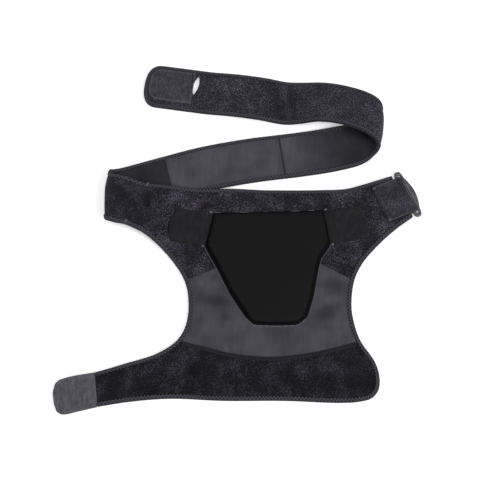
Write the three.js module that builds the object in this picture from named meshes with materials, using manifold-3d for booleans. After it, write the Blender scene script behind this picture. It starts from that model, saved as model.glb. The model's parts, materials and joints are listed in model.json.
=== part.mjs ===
// A neoprene shoulder brace lying open on a flat surface, seen from above with its pad upwards.
// Millimetres, +Z up, +X to the right, +Y away from the viewer. The surface is z = 0.
//
// The body is three butt-sewn neoprene panels, bound all round with a folded tape. Its left wing
// carries the long chest strap, which bends under the wing, runs to the right beneath the neckline,
// turns over in a wide soft bend and comes back to its tip. The right wing carries a plastic ring
// in a folded fabric tab, and the arm band at the bottom ends in a hook tab.
import * as THREE from 'three';
import Module from 'manifold-3d';

const wasm = await Module();
wasm.setup();

// Driving dimensions

// Cloth
const NEOPRENE = 3.4;
const TAPE = 0.9;
const BINDING_WIDTH = 6;
const CLEAR = 0.35;

// Body
const BODY_WIDTH = 400;
const BODY_DEPTH = 320;
const NECK_END_GAP = 3;
const ARM_TAB_LENGTH = 60;
const LIFT_RAMP = 70;
const WING_RISE = 8;
const WING_RAMP = 80;
const TAB_RAMP = 41;

// Pad and its two hook wings
const PAD_WIDTH = 184;
const PAD_DEPTH = 174;
const PAD_THICKNESS = 9;
const PAD_WING_REACH = 54;
const PAD_WING_DEPTH = 58;
const PAD_WING_THICKNESS = 1.8;

// Chest strap
const STRAP_WIDTH = 72;
const STRAP_REACH = 411;
const STRAP_RISE = 195;
const FRONT_BAND = 48;
const FRONT_BAND_RISE = 9;
const BEND_HEIGHT = 33;
const TIP_ROUNDING = 17;
const PATCH_LENGTH = 68;
const PATCH_MARGIN = 11;
const PATCH_THICKNESS = 1.6;
const SLOT_LENGTH = 32;
const SLOT_WIDTH = 8.5;
const SLOT_FROM_PATCH = 6;
const SLOT_FROM_MIDDLE = 7;
const SLOT_SLOPE = 8;

// Ring and its folded tab
const RING_ANGLE = 23.5;
const RING_THICKNESS = 5;
const RING_END_BAR = 6.3;
const RING_OUTER_BAR = 5.6;
const RING_BULGE = 3.9;
const RING_SIDE_PLAY = 3;
const RING_FOLD_GAP = 2.6;
const PIVOT_CLEAR = 0.5;
const TAB_WIDTH = 58;
const TAB_LENGTH = 41;
const TAB_THICKNESS = 1.7;

// Sizes that follow from them

const EDGE = TAPE + CLEAR;
const BOUND = NEOPRENE + 2 * EDGE;
const FACE = EDGE + NEOPRENE;
const STRAP_LIFT = BOUND + CLEAR;
const PIVOT_HEIGHT = RING_THICKNESS / 2 + PIVOT_CLEAR + TAB_THICKNESS;
const NECK_HALF = TAB_WIDTH / 2 + BINDING_WIDTH + 2 * CLEAR;
const NECK_END = RING_THICKNESS / 2 + NECK_END_GAP;

const rad = THREE.MathUtils.degToRad;
const point = (x, y) => new THREE.Vector2(x, y);
const smooth = (a, b, x) => THREE.MathUtils.smoothstep(x, a, b);

// Places on the body, as shares of its width from the middle of the neckline and of its depth.
const onBody = ([x, y]) => point(x * BODY_WIDTH, y * BODY_DEPTH);

// Outlines

// Where the strap is sewn to the left wing: the seam's upper end and its slope from vertical.
const SEAM_TOP = onBody([-0.4325, 0.012]);
const SEAM_SLOPE = 27;
const seamRun = point(-Math.sin(rad(SEAM_SLOPE)), -Math.cos(rad(SEAM_SLOPE)));
const SEAM_BOTTOM = SEAM_TOP.clone().addScaledVector(seamRun, STRAP_WIDTH);

// The ring's pivot, with x outwards across the tab and y along the bar.
const PIVOT = onBody([0.508, -0.029]);
const outwards = point(Math.cos(rad(RING_ANGLE)), Math.sin(rad(RING_ANGLE)));
const alongBar = point(-outwards.y, outwards.x);
const atTab = (x, y) => PIVOT.clone().addScaledVector(outwards, x).addScaledVector(alongBar, y);

// Each edge is a short table of places; a letter names the rows where a seam or corner meets it.
// The neckline, from the strap seam to the ring.
const NECKLINE = [
  { at: SEAM_TOP, mark: 'seam' },
  { x: -0.3425, y: 0.003 },
  { x: -0.255, y: -0.006, mark: 'arch' },
  { x: -0.1375, y: -0.003 },
  { x: -0.005, y: -0.003 },
  { x: 0.195, y: -0.003 },
  { x: 0.2925, y: 0.004, mark: 'archEnd' },
  { x: 0.35, y: 0.022 },
  { x: 0.4025, y: 0.043 },
  { at: atTab(-NECK_END, NECK_HALF), mark: 'neck' },
];

// The outer side and the hem, from the ring round the arm band to its hook tab.
const OUTER_EDGE = [
  { at: atTab(-NECK_END, -NECK_HALF), mark: 'neck' },
  { x: 0.472, y: -0.192 },
  { x: 0.41, y: -0.261 },
  { x: 0.3425, y: -0.356 },
  { x: 0.309, y: -0.44, mark: 'arch' },
  { x: 0.295, y: -0.5625 },
  { x: 0.304, y: -0.65 },
  { x: 0.322, y: -0.719, mark: 'bowl' },
  { x: 0.37, y: -0.816 },
  { x: 0.3825, y: -0.881 },
  { x: 0.377, y: -0.936 },
  { x: 0.352, y: -0.973, mark: 'corner' },
  { x: 0.308, y: -0.988 },
  { x: 0.245, y: -0.993 },
  { x: 0.05, y: -0.984 },
  { x: -0.1575, y: -0.984 },
  { x: -0.345, y: -0.975, mark: 'under' },
  { x: -0.48, y: -0.9875 },
  { x: -0.59, y: -1.009, mark: 'armSeam' },
];

// The inner waist, from the strap seam down to the arm band's upper edge and the hook tab.
const WAIST_EDGE = [
  { at: SEAM_BOTTOM, mark: 'seam' },
  { x: -0.44, y: -0.234 },
  { x: -0.3625, y: -0.322 },
  { x: -0.301, y: -0.44, mark: 'arch' },
  { x: -0.285, y: -0.5375 },
  { x: -0.2925, y: -0.644 },
  { x: -0.322, y: -0.714, mark: 'bowl' },
  { x: -0.3925, y: -0.775 },
  { x: -0.50, y: -0.819 },
  { x: -0.605, y: -0.859, mark: 'armSeam' },
];

// The two seams across the body: an arch under the pad and a bowl above the arm band.
const ARCH_SEAM = [
  { x: -0.27, y: -0.42 },
  { x: -0.185, y: -0.378 },
  { x: -0.105, y: -0.318 },
  { x: 0.005, y: -0.285 },
  { x: 0.12, y: -0.318 },
  { x: 0.205, y: -0.372 },
  { x: 0.28, y: -0.42 },
];
const BOWL_SEAM = [
  { x: -0.2975, y: -0.719 },
  { x: -0.215, y: -0.75 },
  { x: -0.135, y: -0.775 },
  { x: 0.005, y: -0.791 },
  { x: 0.145, y: -0.773 },
  { x: 0.22, y: -0.753 },
  { x: 0.31, y: -0.72 },
];

// The arm band's seam with its hook tab, and the tab's outline in shares of its own length.
const ARM_TAB_OUTLINE = [
  { along: 0.0, across: 0.0 },
  { along: 0.36, across: 0.015 },
  { along: 0.61, across: 0.04 },
  { along: 0.82, across: 0.085 },
  { along: 0.93, across: 0.18 },
  { along: 1.0, across: 0.44 },
  { along: 0.99, across: 0.75 },
  { along: 0.935, across: 1.0 },
  { along: 0.84, across: 1.09 },
  { along: 0.7, across: 1.1 },
  { along: 0.45, across: 1.06 },
  { along: 0.0, across: 1.0 },
];

// The pad's outline in shares of its width and depth, from the middle of its upper edge.
const PAD_OUTLINE = [
  { x: -0.435, y: -0.02 },
  { x: 0.0, y: 0.0 },
  { x: 0.446, y: 0.01 },
  { x: 0.475, y: -0.15 },
  { x: 0.492, y: -0.30 },
  { x: 0.413, y: -0.42 },
  { x: 0.391, y: -0.52 },
  { x: 0.345, y: -0.76 },
  { x: 0.297, y: -0.92 },
  { x: 0.22, y: -0.985 },
  { x: 0.05, y: -0.99 },
  { x: -0.114, y: -0.985 },
  { x: -0.18, y: -0.92 },
  { x: -0.30, y: -0.72 },
  { x: -0.408, y: -0.485 },
  { x: -0.497, y: -0.315 },
  { x: -0.467, y: -0.17 },
];
const PAD_PLACE = onBody([0, -0.112]);
const padPoint = ({ x, y }) => point(PAD_PLACE.x + x * PAD_WIDTH, PAD_PLACE.y + y * PAD_DEPTH);

// The chest strap's run: places as shares of its reach and rise from the left bend, the height and
// lean as shares of the bend's height, and the turn of its width from +Y in degrees.
const STRAP_RUN = [
  { x: 0.05, y: -0.02, height: 0.66, lean: 0.1, turn: -14 },
  { x: 0.008, y: 0.012, height: 0.54, lean: 0.1, turn: -5 },
  { x: 0.0, y: 0.042, height: 0.3, lean: 0.08, turn: 2 },
  { x: 0.018, y: 0.07, height: 0.07, lean: 0.03, turn: 8 },
  { x: 0.07, y: 0.1, height: 0.0, lean: 0.0, turn: 12 },
  { x: 0.214, y: 0.19, height: 0.0, lean: 0.0, turn: 14 },
  { x: 0.35, y: 0.272, height: 0.0, lean: 0.0, turn: 12 },
  { x: 0.516, y: 0.341, height: 0.0, lean: 0.0, turn: 9 },
  { x: 0.693, y: 0.392, height: 0.0, lean: 0.0, turn: 8 },
  { x: 0.805, y: 0.431, height: 0.0, lean: 0.0, turn: 6 },
  { x: 0.918, y: 0.49, height: 0.02, lean: 0.0, turn: 0 },
  { x: 0.972, y: 0.545, height: 0.1, lean: -0.04, turn: -6 },
  { x: 1.0, y: 0.594, height: 0.32, lean: -0.14, turn: -7 },
  { x: 0.987, y: 0.642, height: 0.55, lean: -0.24, turn: -8 },
  { x: 0.939, y: 0.7, height: 0.67, lean: -0.32, turn: -8 },
  { x: 0.859, y: 0.765, height: 0.63, lean: -0.38, turn: -7 },
  { x: 0.776, y: 0.805, height: 0.46, lean: -0.34, turn: -7 },
  { x: 0.71, y: 0.82, height: 0.17, lean: -0.12, turn: -7 },
  { x: 0.652, y: 0.83, height: 0.03, lean: 0.0, turn: -7 },
  { x: 0.562, y: 0.862, height: 0.11, lean: 0.0, turn: -8 },
  { x: 0.462, y: 0.893, height: 0.11, lean: 0.0, turn: -8 },
  { x: 0.355, y: 0.925, height: 0.0, lean: 0.0, turn: -8 },
  { x: 0.219, y: 0.967, height: 0.0, lean: 0.0, turn: -8 },
  { x: 0.122, y: 0.997, height: 0.0, lean: 0.0, turn: -8 },
];

// Curves

const placeOf = (row) => row.at ?? onBody([row.x, row.y]);

// Points at even spacing along a smooth curve through the rows, between two of them.
function span(rows, from, to, count, place = placeOf) {
  const curve = new THREE.CatmullRomCurve3(
    rows.map((row) => new THREE.Vector3(place(row).x, place(row).y, 0)),
  );
  const fine = [];
  const steps = 12 * (to - from);
  for (let i = 0; i <= steps; i += 1) {
    fine.push(curve.getPoint((from + ((to - from) * i) / steps) / (rows.length - 1)));
  }
  return evenly(fine, count).map((p) => point(p.x, p.y));
}

function evenly(fine, count) {
  const lengths = [0];
  for (let i = 1; i < fine.length; i += 1) {
    lengths.push(lengths[i - 1] + fine[i].distanceTo(fine[i - 1]));
  }
  const picked = [];
  let k = 1;
  for (let i = 0; i <= count; i += 1) {
    const target = (lengths[lengths.length - 1] * i) / count;
    while (k < fine.length - 1 && lengths[k] < target) {
      k += 1;
    }
    const share = (target - lengths[k - 1]) / (lengths[k] - lengths[k - 1]);
    picked.push(fine[k - 1].clone().lerp(fine[k], share));
  }
  return picked;
}

// A line of points, shortened at both of its ends.
function trimmed(points, trim) {
  const line = points.slice(1, -1);
  const shortened = (end, next) => (
    end.clone().addScaledVector(next.clone().sub(end).normalize(), trim)
  );
  return [shortened(points[0], line[0]), ...line, shortened(points.at(-1), line.at(-1))];
}

// A chain of spans between the marked rows, each with its own number of steps.
function chain(rows, counts) {
  const marks = rows.map((row, i) => (row.mark ? i : -1)).filter((i) => i >= 0);
  const points = [];
  const starts = [];
  counts.forEach((count, k) => {
    const part = span(rows, marks[k], marks[k + 1], count);
    starts.push(points.length);
    points.push(...part.slice(0, k === counts.length - 1 ? undefined : -1));
  });
  starts.push(points.length - 1);
  return { points, starts };
}

// The chain's points moved sideways; a positive side lies to the left of its direction. Where an
// end lies on a seam, its point moves along that seam instead.
function moved(points, distance, ends = {}) {
  return points.map((p, i) => {
    const seam = (i === 0 && ends.first) || (i === points.length - 1 && ends.last);
    if (seam) {
      return p.clone().addScaledVector(seam, Math.abs(distance));
    }
    const before = points[Math.max(i - 1, 0)];
    const after = points[Math.min(i + 1, points.length - 1)];
    const run = after.clone().sub(before).normalize();
    return point(p.x - run.y * distance, p.y + run.x * distance);
  });
}

const ARM_SEAM_TOP = placeOf(WAIST_EDGE.at(-1));
const ARM_SEAM_BOTTOM = placeOf(OUTER_EDGE.at(-1));
const armSeamRun = ARM_SEAM_BOTTOM.clone().sub(ARM_SEAM_TOP).normalize();

const neckline = {
  ...chain(NECKLINE, [9, 14, 8]),
  side: -1,
  ends: { first: seamRun, last: alongBar.clone().negate() },
};
const outerEdge = {
  ...chain(OUTER_EDGE, [8, 6, 5, 15, 7]),
  side: -1,
  ends: { first: alongBar, last: armSeamRun.clone().negate() },
};
const waistEdge = {
  ...chain(WAIST_EDGE, [9, 6, 7]),
  side: 1,
  ends: { first: seamRun.clone().negate(), last: armSeamRun },
};
const inside = ({ points, side, ends }, distance) => moved(points, side * distance, ends);

// The surface that the body lies on

// The strap's centre line, with its width's direction at each place.
const SEAM_MIDDLE = SEAM_TOP.clone().add(SEAM_BOTTOM).multiplyScalar(0.5);
const BEND_PLACE = SEAM_MIDDLE.clone().add(point(-FRONT_BAND, FRONT_BAND_RISE));
const SEAM_HEIGHT = STRAP_LIFT + WING_RISE + BOUND / 2;

function strapRows() {
  const first = {
    centre: new THREE.Vector3(SEAM_MIDDLE.x, SEAM_MIDDLE.y, SEAM_HEIGHT),
    width: new THREE.Vector3(-seamRun.x, -seamRun.y, 0),
  };
  const away = BEND_PLACE.clone().sub(SEAM_MIDDLE).multiplyScalar(0.2);
  const level = {
    centre: first.centre.clone().add(new THREE.Vector3(away.x, away.y, 0)),
    width: first.width.clone(),
  };
  const rest = STRAP_RUN.map((row) => {
    const lean = (row.lean * BEND_HEIGHT) / STRAP_WIDTH;
    const flat = Math.sqrt(1 - lean * lean);
    const turn = rad(row.turn);
    return {
      centre: new THREE.Vector3(
        BEND_PLACE.x + row.x * STRAP_REACH,
        BEND_PLACE.y + row.y * STRAP_RISE,
        BOUND / 2 + row.height * BEND_HEIGHT,
      ),
      width: new THREE.Vector3(-Math.sin(turn) * flat, Math.cos(turn) * flat, lean),
    };
  });
  return [first, level, ...rest];
}

// The strap as a ribbon: a place s along it, u across it and v through its thickness.
function ribbon(rows) {
  const centres = new THREE.CatmullRomCurve3(rows.map((row) => row.centre));
  const widths = new THREE.CatmullRomCurve3(rows.map((row) => row.width));
  const steps = 16 * (rows.length - 1);
  const lowest = BOUND / 2;
  const samples = [];
  for (let i = 0; i <= steps; i += 1) {
    const centre = centres.getPoint(i / steps);
    const width = widths.getPoint(i / steps).normalize();
    centre.z = Math.max(centre.z, lowest + (Math.abs(width.z) * STRAP_WIDTH) / 2);
    samples.push({ centre, width, s: 0 });
  }
  for (let i = 1; i <= steps; i += 1) {
    samples[i].s = samples[i - 1].s + samples[i].centre.distanceTo(samples[i - 1].centre);
  }
  samples.forEach((sample, i) => {
    const before = samples[Math.max(i - 1, 0)].centre;
    const after = samples[Math.min(i + 1, steps)].centre;
    sample.run = after.clone().sub(before).normalize();
    sample.face = new THREE.Vector3().crossVectors(sample.run, sample.width).normalize();
  });
  const length = samples[steps].s;
  const find = (s) => {
    let k = 1;
    while (k < steps && samples[k].s < s) {
      k += 1;
    }
    return k;
  };
  const at = (s, u, v) => {
    const k = find(s);
    const [a, b] = [samples[k - 1], samples[k]];
    const share = (s - a.s) / (b.s - a.s);
    const centre = a.centre.clone().lerp(b.centre, share);
    const width = a.width.clone().lerp(b.width, share).normalize();
    const face = a.face.clone().lerp(b.face, share).normalize();
    return centre.addScaledVector(width, u).addScaledVector(face, v);
  };
  return { at, length, samples };
}

const strap = ribbon(strapRows());

// The near edge of the strap's run beneath the neckline, as a line in plan.
const lowerRun = strap.samples.filter((_, i) => i >= 16 * 6 && i <= 16 * 11);
const nearEdge = lowerRun.map(({ centre, width }) => (
  point(centre.x - (width.x * STRAP_WIDTH) / 2, centre.y - (width.y * STRAP_WIDTH) / 2)
));

function nearEdgeHeight(x) {
  let k = 1;
  while (k < nearEdge.length - 1 && nearEdge[k].x < x) {
    k += 1;
  }
  const [a, b] = [nearEdge[k - 1], nearEdge[k]];
  return a.y + ((b.y - a.y) * (x - a.x)) / (b.x - a.x);
}

// The neckline leaves the strap where its edge comes out from under the body.
const crossing = neckline.points.reduce((far, p) => (
  p.y > nearEdgeHeight(p.x) - BINDING_WIDTH ? Math.max(far, p.x) : far
), -Infinity) + BINDING_WIDTH;

// How high the body's underside lies over the surface.
function lift(x, y) {
  const short = Math.max(0, nearEdgeHeight(x) - y - BINDING_WIDTH);
  const past = Math.max(0, x - crossing);
  const overStrap = STRAP_LIFT * (1 - smooth(0, LIFT_RAMP, Math.hypot(short, past)));
  const toSeam = point(x, y).sub(SEAM_TOP);
  const fromSeam = toSeam.x * -seamRun.y + toSeam.y * seamRun.x;
  const rise = 1 - smooth(0, WING_RAMP, Math.max(0, fromSeam));
  const seat = PIVOT_HEIGHT - NEOPRENE / 2 - EDGE;
  const toPivot = point(x, y).sub(PIVOT).dot(outwards);
  const inTab = smooth(-TAB_LENGTH - TAB_RAMP - 4, -TAB_LENGTH - 4, toPivot);
  return overStrap * (1 - rise) + (STRAP_LIFT + WING_RISE) * rise + seat * inTab;
}

const overBody = (v) => (x, y) => new THREE.Vector3(x, y, lift(x, y) + v);

// Solids

// One closed mesh from points and faces, with its faces turned outwards.
function solid(points, faces) {
  let volume = 0;
  const cross = new THREE.Vector3();
  for (const [a, b, c] of faces) {
    volume += points[a].dot(cross.crossVectors(points[b], points[c]));
  }
  const geometry = new THREE.BufferGeometry();
  const numbers = points.flatMap((p) => p.toArray());
  geometry.setAttribute('position', new THREE.Float32BufferAttribute(numbers, 3));
  geometry.setIndex(faces.flatMap(([a, b, c]) => (volume > 0 ? [a, b, c] : [a, c, b])));
  geometry.computeVertexNormals();
  return geometry;
}

// A slab over a grid of places, between a lower and an upper surface.
function slab(columns, lower, upper) {
  const [rows, cols] = [columns[0].length, columns.length];
  const points = [];
  for (const place of [lower, upper]) {
    for (const column of columns) {
      for (const p of column) {
        points.push(place(p.x, p.y));
      }
    }
  }
  const id = (side, i, j) => side * rows * cols + i * rows + j;
  const faces = [];
  const quad = (a, b, c, d) => faces.push([a, b, c], [a, c, d]);
  for (let i = 0; i < cols - 1; i += 1) {
    for (let j = 0; j < rows - 1; j += 1) {
      quad(id(1, i, j), id(1, i + 1, j), id(1, i + 1, j + 1), id(1, i, j + 1));
      quad(id(0, i, j), id(0, i, j + 1), id(0, i + 1, j + 1), id(0, i + 1, j));
    }
    quad(id(0, i, 0), id(0, i + 1, 0), id(1, i + 1, 0), id(1, i, 0));
    quad(id(0, i + 1, rows - 1), id(0, i, rows - 1), id(1, i, rows - 1), id(1, i + 1, rows - 1));
  }
  for (let j = 0; j < rows - 1; j += 1) {
    quad(id(0, 0, j + 1), id(0, 0, j), id(1, 0, j), id(1, 0, j + 1));
    quad(id(0, cols - 1, j), id(0, cols - 1, j + 1), id(1, cols - 1, j + 1), id(1, cols - 1, j));
  }
  return solid(points, faces);
}

// A grid of places that fills the space between four edges which meet at their corners.
function patch(bottom, top, left, right) {
  const [n, m] = [bottom.length - 1, left.length - 1];
  const blend = (a, b, share) => a.clone().lerp(b, share);
  return bottom.map((_, i) => left.map((__, j) => {
    const [u, v] = [i / n, j / m];
    const corners = blend(blend(bottom[0], bottom[n], u), blend(top[0], top[n], u), v);
    return blend(bottom[i], top[i], v).add(blend(left[j], right[j], u)).sub(corners);
  }));
}

const straight = (a, b, count) => (
  Array.from({ length: count + 1 }, (_, i) => a.clone().lerp(b, i / count))
);

// A section swept through stations; each station places the section's points.
function sweep(profile, stations, closed = false) {
  const sides = profile.length;
  const points = stations.flatMap((place) => profile.map((p) => place(p.x, p.y)));
  const faces = [];
  const last = closed ? stations.length : stations.length - 1;
  for (let i = 0; i < last; i += 1) {
    const next = (i + 1) % stations.length;
    for (let k = 0; k < sides; k += 1) {
      const j = (k + 1) % sides;
      faces.push([i * sides + k, i * sides + j, next * sides + j]);
      faces.push([i * sides + k, next * sides + j, next * sides + k]);
    }
  }
  if (!closed) {
    const end = (stations.length - 1) * sides;
    for (const [a, b, c] of THREE.ShapeUtils.triangulateShape(profile, [])) {
      faces.push([a, c, b], [end + a, end + b, end + c]);
    }
  }
  return solid(points, faces);
}

// The binding's section: a tape folded over the edge, x inwards from the fold and y upwards.
const BINDING = [
  point(0, 0),
  point(BINDING_WIDTH, 0),
  point(BINDING_WIDTH, TAPE),
  point(TAPE, TAPE),
  point(TAPE, BOUND - TAPE),
  point(BINDING_WIDTH, BOUND - TAPE),
  point(BINDING_WIDTH, BOUND),
  point(0, BOUND),
];

// A binding round a body edge.
function bodyBinding(edge) {
  const inner = inside(edge, BINDING_WIDTH);
  return sweep(BINDING, edge.points.map((p, i) => (x, y) => {
    const at = p.clone().lerp(inner[i], x / BINDING_WIDTH);
    return new THREE.Vector3(at.x, at.y, lift(at.x, at.y) + y);
  }));
}

// A cushion on the body: its outline shrunk towards the middle as it rises.
function cushion(outline, thickness, levels, base) {
  const middle = outline.reduce((sum, p) => sum.add(p), point(0, 0)).divideScalar(outline.length);
  const count = outline.length;
  const points = [new THREE.Vector3(middle.x, middle.y, lift(middle.x, middle.y) + base)];
  for (const { inset, height } of levels) {
    for (const p of outline) {
      const at = p.clone().lerp(middle, inset);
      points.push(new THREE.Vector3(at.x, at.y, lift(at.x, at.y) + base + height * thickness));
    }
  }
  points.push(new THREE.Vector3(middle.x, middle.y, lift(middle.x, middle.y) + base + thickness));
  const faces = [];
  const id = (level, k) => 1 + level * count + (k % count);
  for (let k = 0; k < count; k += 1) {
    faces.push([0, id(0, k + 1), id(0, k)]);
    for (let level = 0; level < levels.length - 1; level += 1) {
      faces.push([id(level, k), id(level, k + 1), id(level + 1, k + 1)]);
      faces.push([id(level, k), id(level + 1, k + 1), id(level + 1, k)]);
    }
    faces.push([id(levels.length - 1, k), id(levels.length - 1, k + 1), points.length - 1]);
  }
  return solid(points, faces);
}

// Body panels

const shifted = (points, y) => points.map((p) => point(p.x, p.y + y));
const SEW = CLEAR / 2;

const neckIn = inside(neckline, EDGE);
const outerIn = inside(outerEdge, EDGE);
const waistIn = inside(waistEdge, EDGE);
const archCount = neckline.starts[2] - neckline.starts[1];

// A seam that runs from the waist to the outer side through its own rows.
function seamAcross(rows, from, to, count) {
  const all = [{ at: from }, ...rows.slice(1, -1), { at: to }];
  return span(all, 0, all.length - 1, count);
}

const archEnds = [waistIn[waistEdge.starts[1]], outerIn[outerEdge.starts[1]]];
const arch = seamAcross(ARCH_SEAM, ...archEnds, archCount);
const bowlCount = outerEdge.starts[4] - outerEdge.starts[3];
const bowlEnds = [waistIn[waistEdge.starts[2]], outerIn[outerEdge.starts[2]]];
const bowl = seamAcross(BOWL_SEAM, ...bowlEnds, bowlCount);

function upperPanel() {
  const along = seamRun.clone().negate();
  const gap = point(along.y, -along.x).multiplyScalar(SEW);
  const bottom = [
    ...waistIn.slice(0, waistEdge.starts[1]),
    ...arch,
    ...outerIn.slice(0, outerEdge.starts[1]).reverse(),
  ];
  const top = neckIn.slice();
  const lower = bottom.map((p, i) => (
    i >= waistEdge.starts[1] && i <= waistEdge.starts[1] + archCount ? point(p.x, p.y + SEW) : p
  ));
  lower[0] = lower[0].clone().add(gap);
  top[0] = top[0].clone().add(gap);
  const left = straight(lower[0], top[0], 5);
  const right = straight(lower[lower.length - 1], top[top.length - 1], 5);
  return slab(patch(lower, top, left, right), overBody(EDGE), overBody(FACE));
}

function middlePanel() {
  const waist = waistIn.slice(waistEdge.starts[1], waistEdge.starts[2] + 1).reverse();
  const outer = outerIn.slice(outerEdge.starts[1], outerEdge.starts[2] + 1).reverse();
  const top = shifted(arch, -SEW);
  const bottom = shifted(span(bowl.map((at) => ({ at })), 0, bowl.length - 1, archCount), SEW);
  waist[0] = bottom[0];
  waist[waist.length - 1] = top[0];
  outer[0] = bottom[bottom.length - 1];
  outer[outer.length - 1] = top[top.length - 1];
  return slab(patch(bottom, top, waist, outer), overBody(EDGE), overBody(FACE));
}

function lowerPanel() {
  const hem = outerIn.slice(outerEdge.starts[3]).reverse();
  const upperEdge = waistIn.slice(waistEdge.starts[2]).reverse();
  const top = [...upperEdge.slice(0, -1), ...shifted(bowl, -SEW)];
  const right = outerIn.slice(outerEdge.starts[2], outerEdge.starts[3] + 1).reverse();
  right[0] = hem[hem.length - 1];
  right[right.length - 1] = top[top.length - 1];
  const left = straight(hem[0], top[0], right.length - 1);
  return slab(patch(hem, top, left, right), overBody(EDGE), overBody(FACE));
}

// The flat tape that covers the bowl seam, just below it.
function seamTape() {
  const trim = BINDING_WIDTH + CLEAR;
  const line = trimmed(bowl, trim);
  const upper = moved(line, -CLEAR);
  const lower = moved(line, -BINDING_WIDTH);
  const columns = upper.map((p, i) => [lower[i], p]);
  return slab(columns, overBody(FACE + CLEAR), overBody(FACE + CLEAR + TAPE));
}

// The arm band's hook tab, flat on the surface and butted to the arm band's end.
function armTab() {
  const down = ARM_SEAM_BOTTOM.clone().sub(ARM_SEAM_TOP);
  const out = point(down.y, -down.x).normalize();
  const outline = ARM_TAB_OUTLINE.map(({ along, across }) => {
    const onSeam = ARM_SEAM_TOP.clone().addScaledVector(down, across);
    return onSeam.addScaledVector(out, CLEAR + along * ARM_TAB_LENGTH);
  });
  const shape = new THREE.Shape(outline);
  return new THREE.ExtrudeGeometry(shape, { depth: BOUND, bevelEnabled: false });
}

// Pad and wings

const PAD_BASE = FACE + 2 * CLEAR;
const padOutline = (() => {
  const rows = [...PAD_OUTLINE, PAD_OUTLINE[0]].map((row) => ({ at: padPoint(row) }));
  const sides = [];
  for (let i = 0; i < rows.length - 1; i += 1) {
    sides.push(rows[i].at, rows[i].at.clone().lerp(rows[i + 1].at, 0.5));
  }
  return sides;
})();

const PAD_LEVELS = [
  { inset: 0.62, height: 0 },
  { inset: 0.3, height: 0 },
  { inset: 0.012, height: 0 },
  { inset: 0, height: 0.35 },
  { inset: 0.02, height: 0.75 },
  { inset: 0.06, height: 0.93 },
  { inset: 0.4, height: 0.985 },
];

// A flat hook wing beside the pad, from the pad's side out to its rounded end.
function padWing(side) {
  const rows = side < 0 ? [0, 15] : [2, 4];
  const [high, low] = rows.map((row) => PAD_OUTLINE[row]);
  const away = side * 2 * CLEAR;
  const top = padPoint(high).add(point(away + side, -2));
  const bottom = padPoint(low).add(point(away + side, 1));
  const reach = side * PAD_WING_REACH;
  const outerTop = point(top.x + reach * 0.93, padPoint(high).y + PAD_WING_DEPTH * 0.13);
  const outerBottom = point(top.x + reach * 1.12, outerTop.y - PAD_WING_DEPTH * 0.86);
  const outerMiddle = point(top.x + reach * 1.16, outerTop.y - PAD_WING_DEPTH * 0.42);
  const inner = [bottom, bottom.clone().lerp(top, 0.35), bottom.clone().lerp(top, 0.7), top];
  const outer = [outerBottom, outerMiddle, outerTop.clone().lerp(outerMiddle, 0.4), outerTop];
  const columns = straight(point(0, 0), point(1, 0), 4).map(({ x }) => (
    inner.map((p, j) => p.clone().lerp(outer[j], x))
  ));
  return slab(columns, overBody(PAD_BASE), overBody(PAD_BASE + PAD_WING_THICKNESS));
}

// Chest strap

// Places along the strap that follow its bends closely and its straight runs loosely.
const STEP_TURN = rad(9.5);
const STEP_LENGTH = 34;
const STEP_SHORTEST = 2.5;

function strapSteps(from, to) {
  const steps = [from];
  let lastRun = null;
  for (const sample of strap.samples) {
    if (sample.s <= from || sample.s >= to) {
      continue;
    }
    lastRun ??= sample;
    const twisted = 2 * sample.width.angleTo(lastRun.width);
    const turned = sample.run.angleTo(lastRun.run) + twisted;
    const due = turned > STEP_TURN || sample.s - lastRun.s > STEP_LENGTH;
    if (due && sample.s - steps.at(-1) > STEP_SHORTEST) {
      steps.push(sample.s);
      lastRun = sample;
    }
  }
  if (to - steps.at(-1) < 4) {
    steps.pop();
  }
  return [...steps, to];
}

const STRAP_START = CLEAR * 3;
const stepsToTip = strapSteps(STRAP_START, strap.length - TIP_ROUNDING);

// The tip's rounding, at a few angles from the strap's edge to its end.
const TIP_ANGLES = [0.22, 0.42, 0.6, 0.76, 0.9].map((share) => (share * Math.PI) / 2);
const onTip = (angle, inset) => point(
  strap.length - TIP_ROUNDING + (TIP_ROUNDING - inset) * Math.sin(angle),
  (STRAP_WIDTH / 2 - inset) * Math.cos(angle),
);

function strapBand() {
  const half = STRAP_WIDTH / 2 - EDGE;
  const places = [
    ...stepsToTip.map((s) => point(s, half)),
    ...TIP_ANGLES.map((angle) => onTip(angle, EDGE)),
  ];
  const columns = places.map(({ x, y }) => {
    const bound = Math.max(y - BINDING_WIDTH + EDGE, y / 2);
    return [-y, -bound, 0, bound, y].map((u) => point(x, u));
  });
  const face = (v) => (s, u) => strap.at(s, u, v);
  return cut(slab(columns, face(-NEOPRENE / 2), face(NEOPRENE / 2)), fingerSlot());
}

// The leaf-shaped finger slot's cutter, which passes right through the strap.
const PATCH_START = strap.length - PATCH_LENGTH - PATCH_MARGIN / 2;
const SLOT_CENTRE = PATCH_START - SLOT_FROM_PATCH - SLOT_WIDTH / 2;

function fingerSlot() {
  const steps = 8;
  const leaf = [];
  for (let i = 0; i <= steps; i += 1) {
    const u = SLOT_LENGTH * (i / steps - 0.5);
    const w = (SLOT_WIDTH / 2) * Math.sin((Math.PI * i) / steps) ** 0.8;
    const middle = SLOT_CENTRE - u * Math.tan(rad(SLOT_SLOPE));
    const across = u + SLOT_FROM_MIDDLE;
    leaf.push([point(middle - w - 0.05, across), point(middle + w + 0.05, across)]);
  }
  const face = (v) => (s, u) => strap.at(s, u, v);
  return slab(leaf, face(-2 * NEOPRENE), face(2 * NEOPRENE));
}

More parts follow.
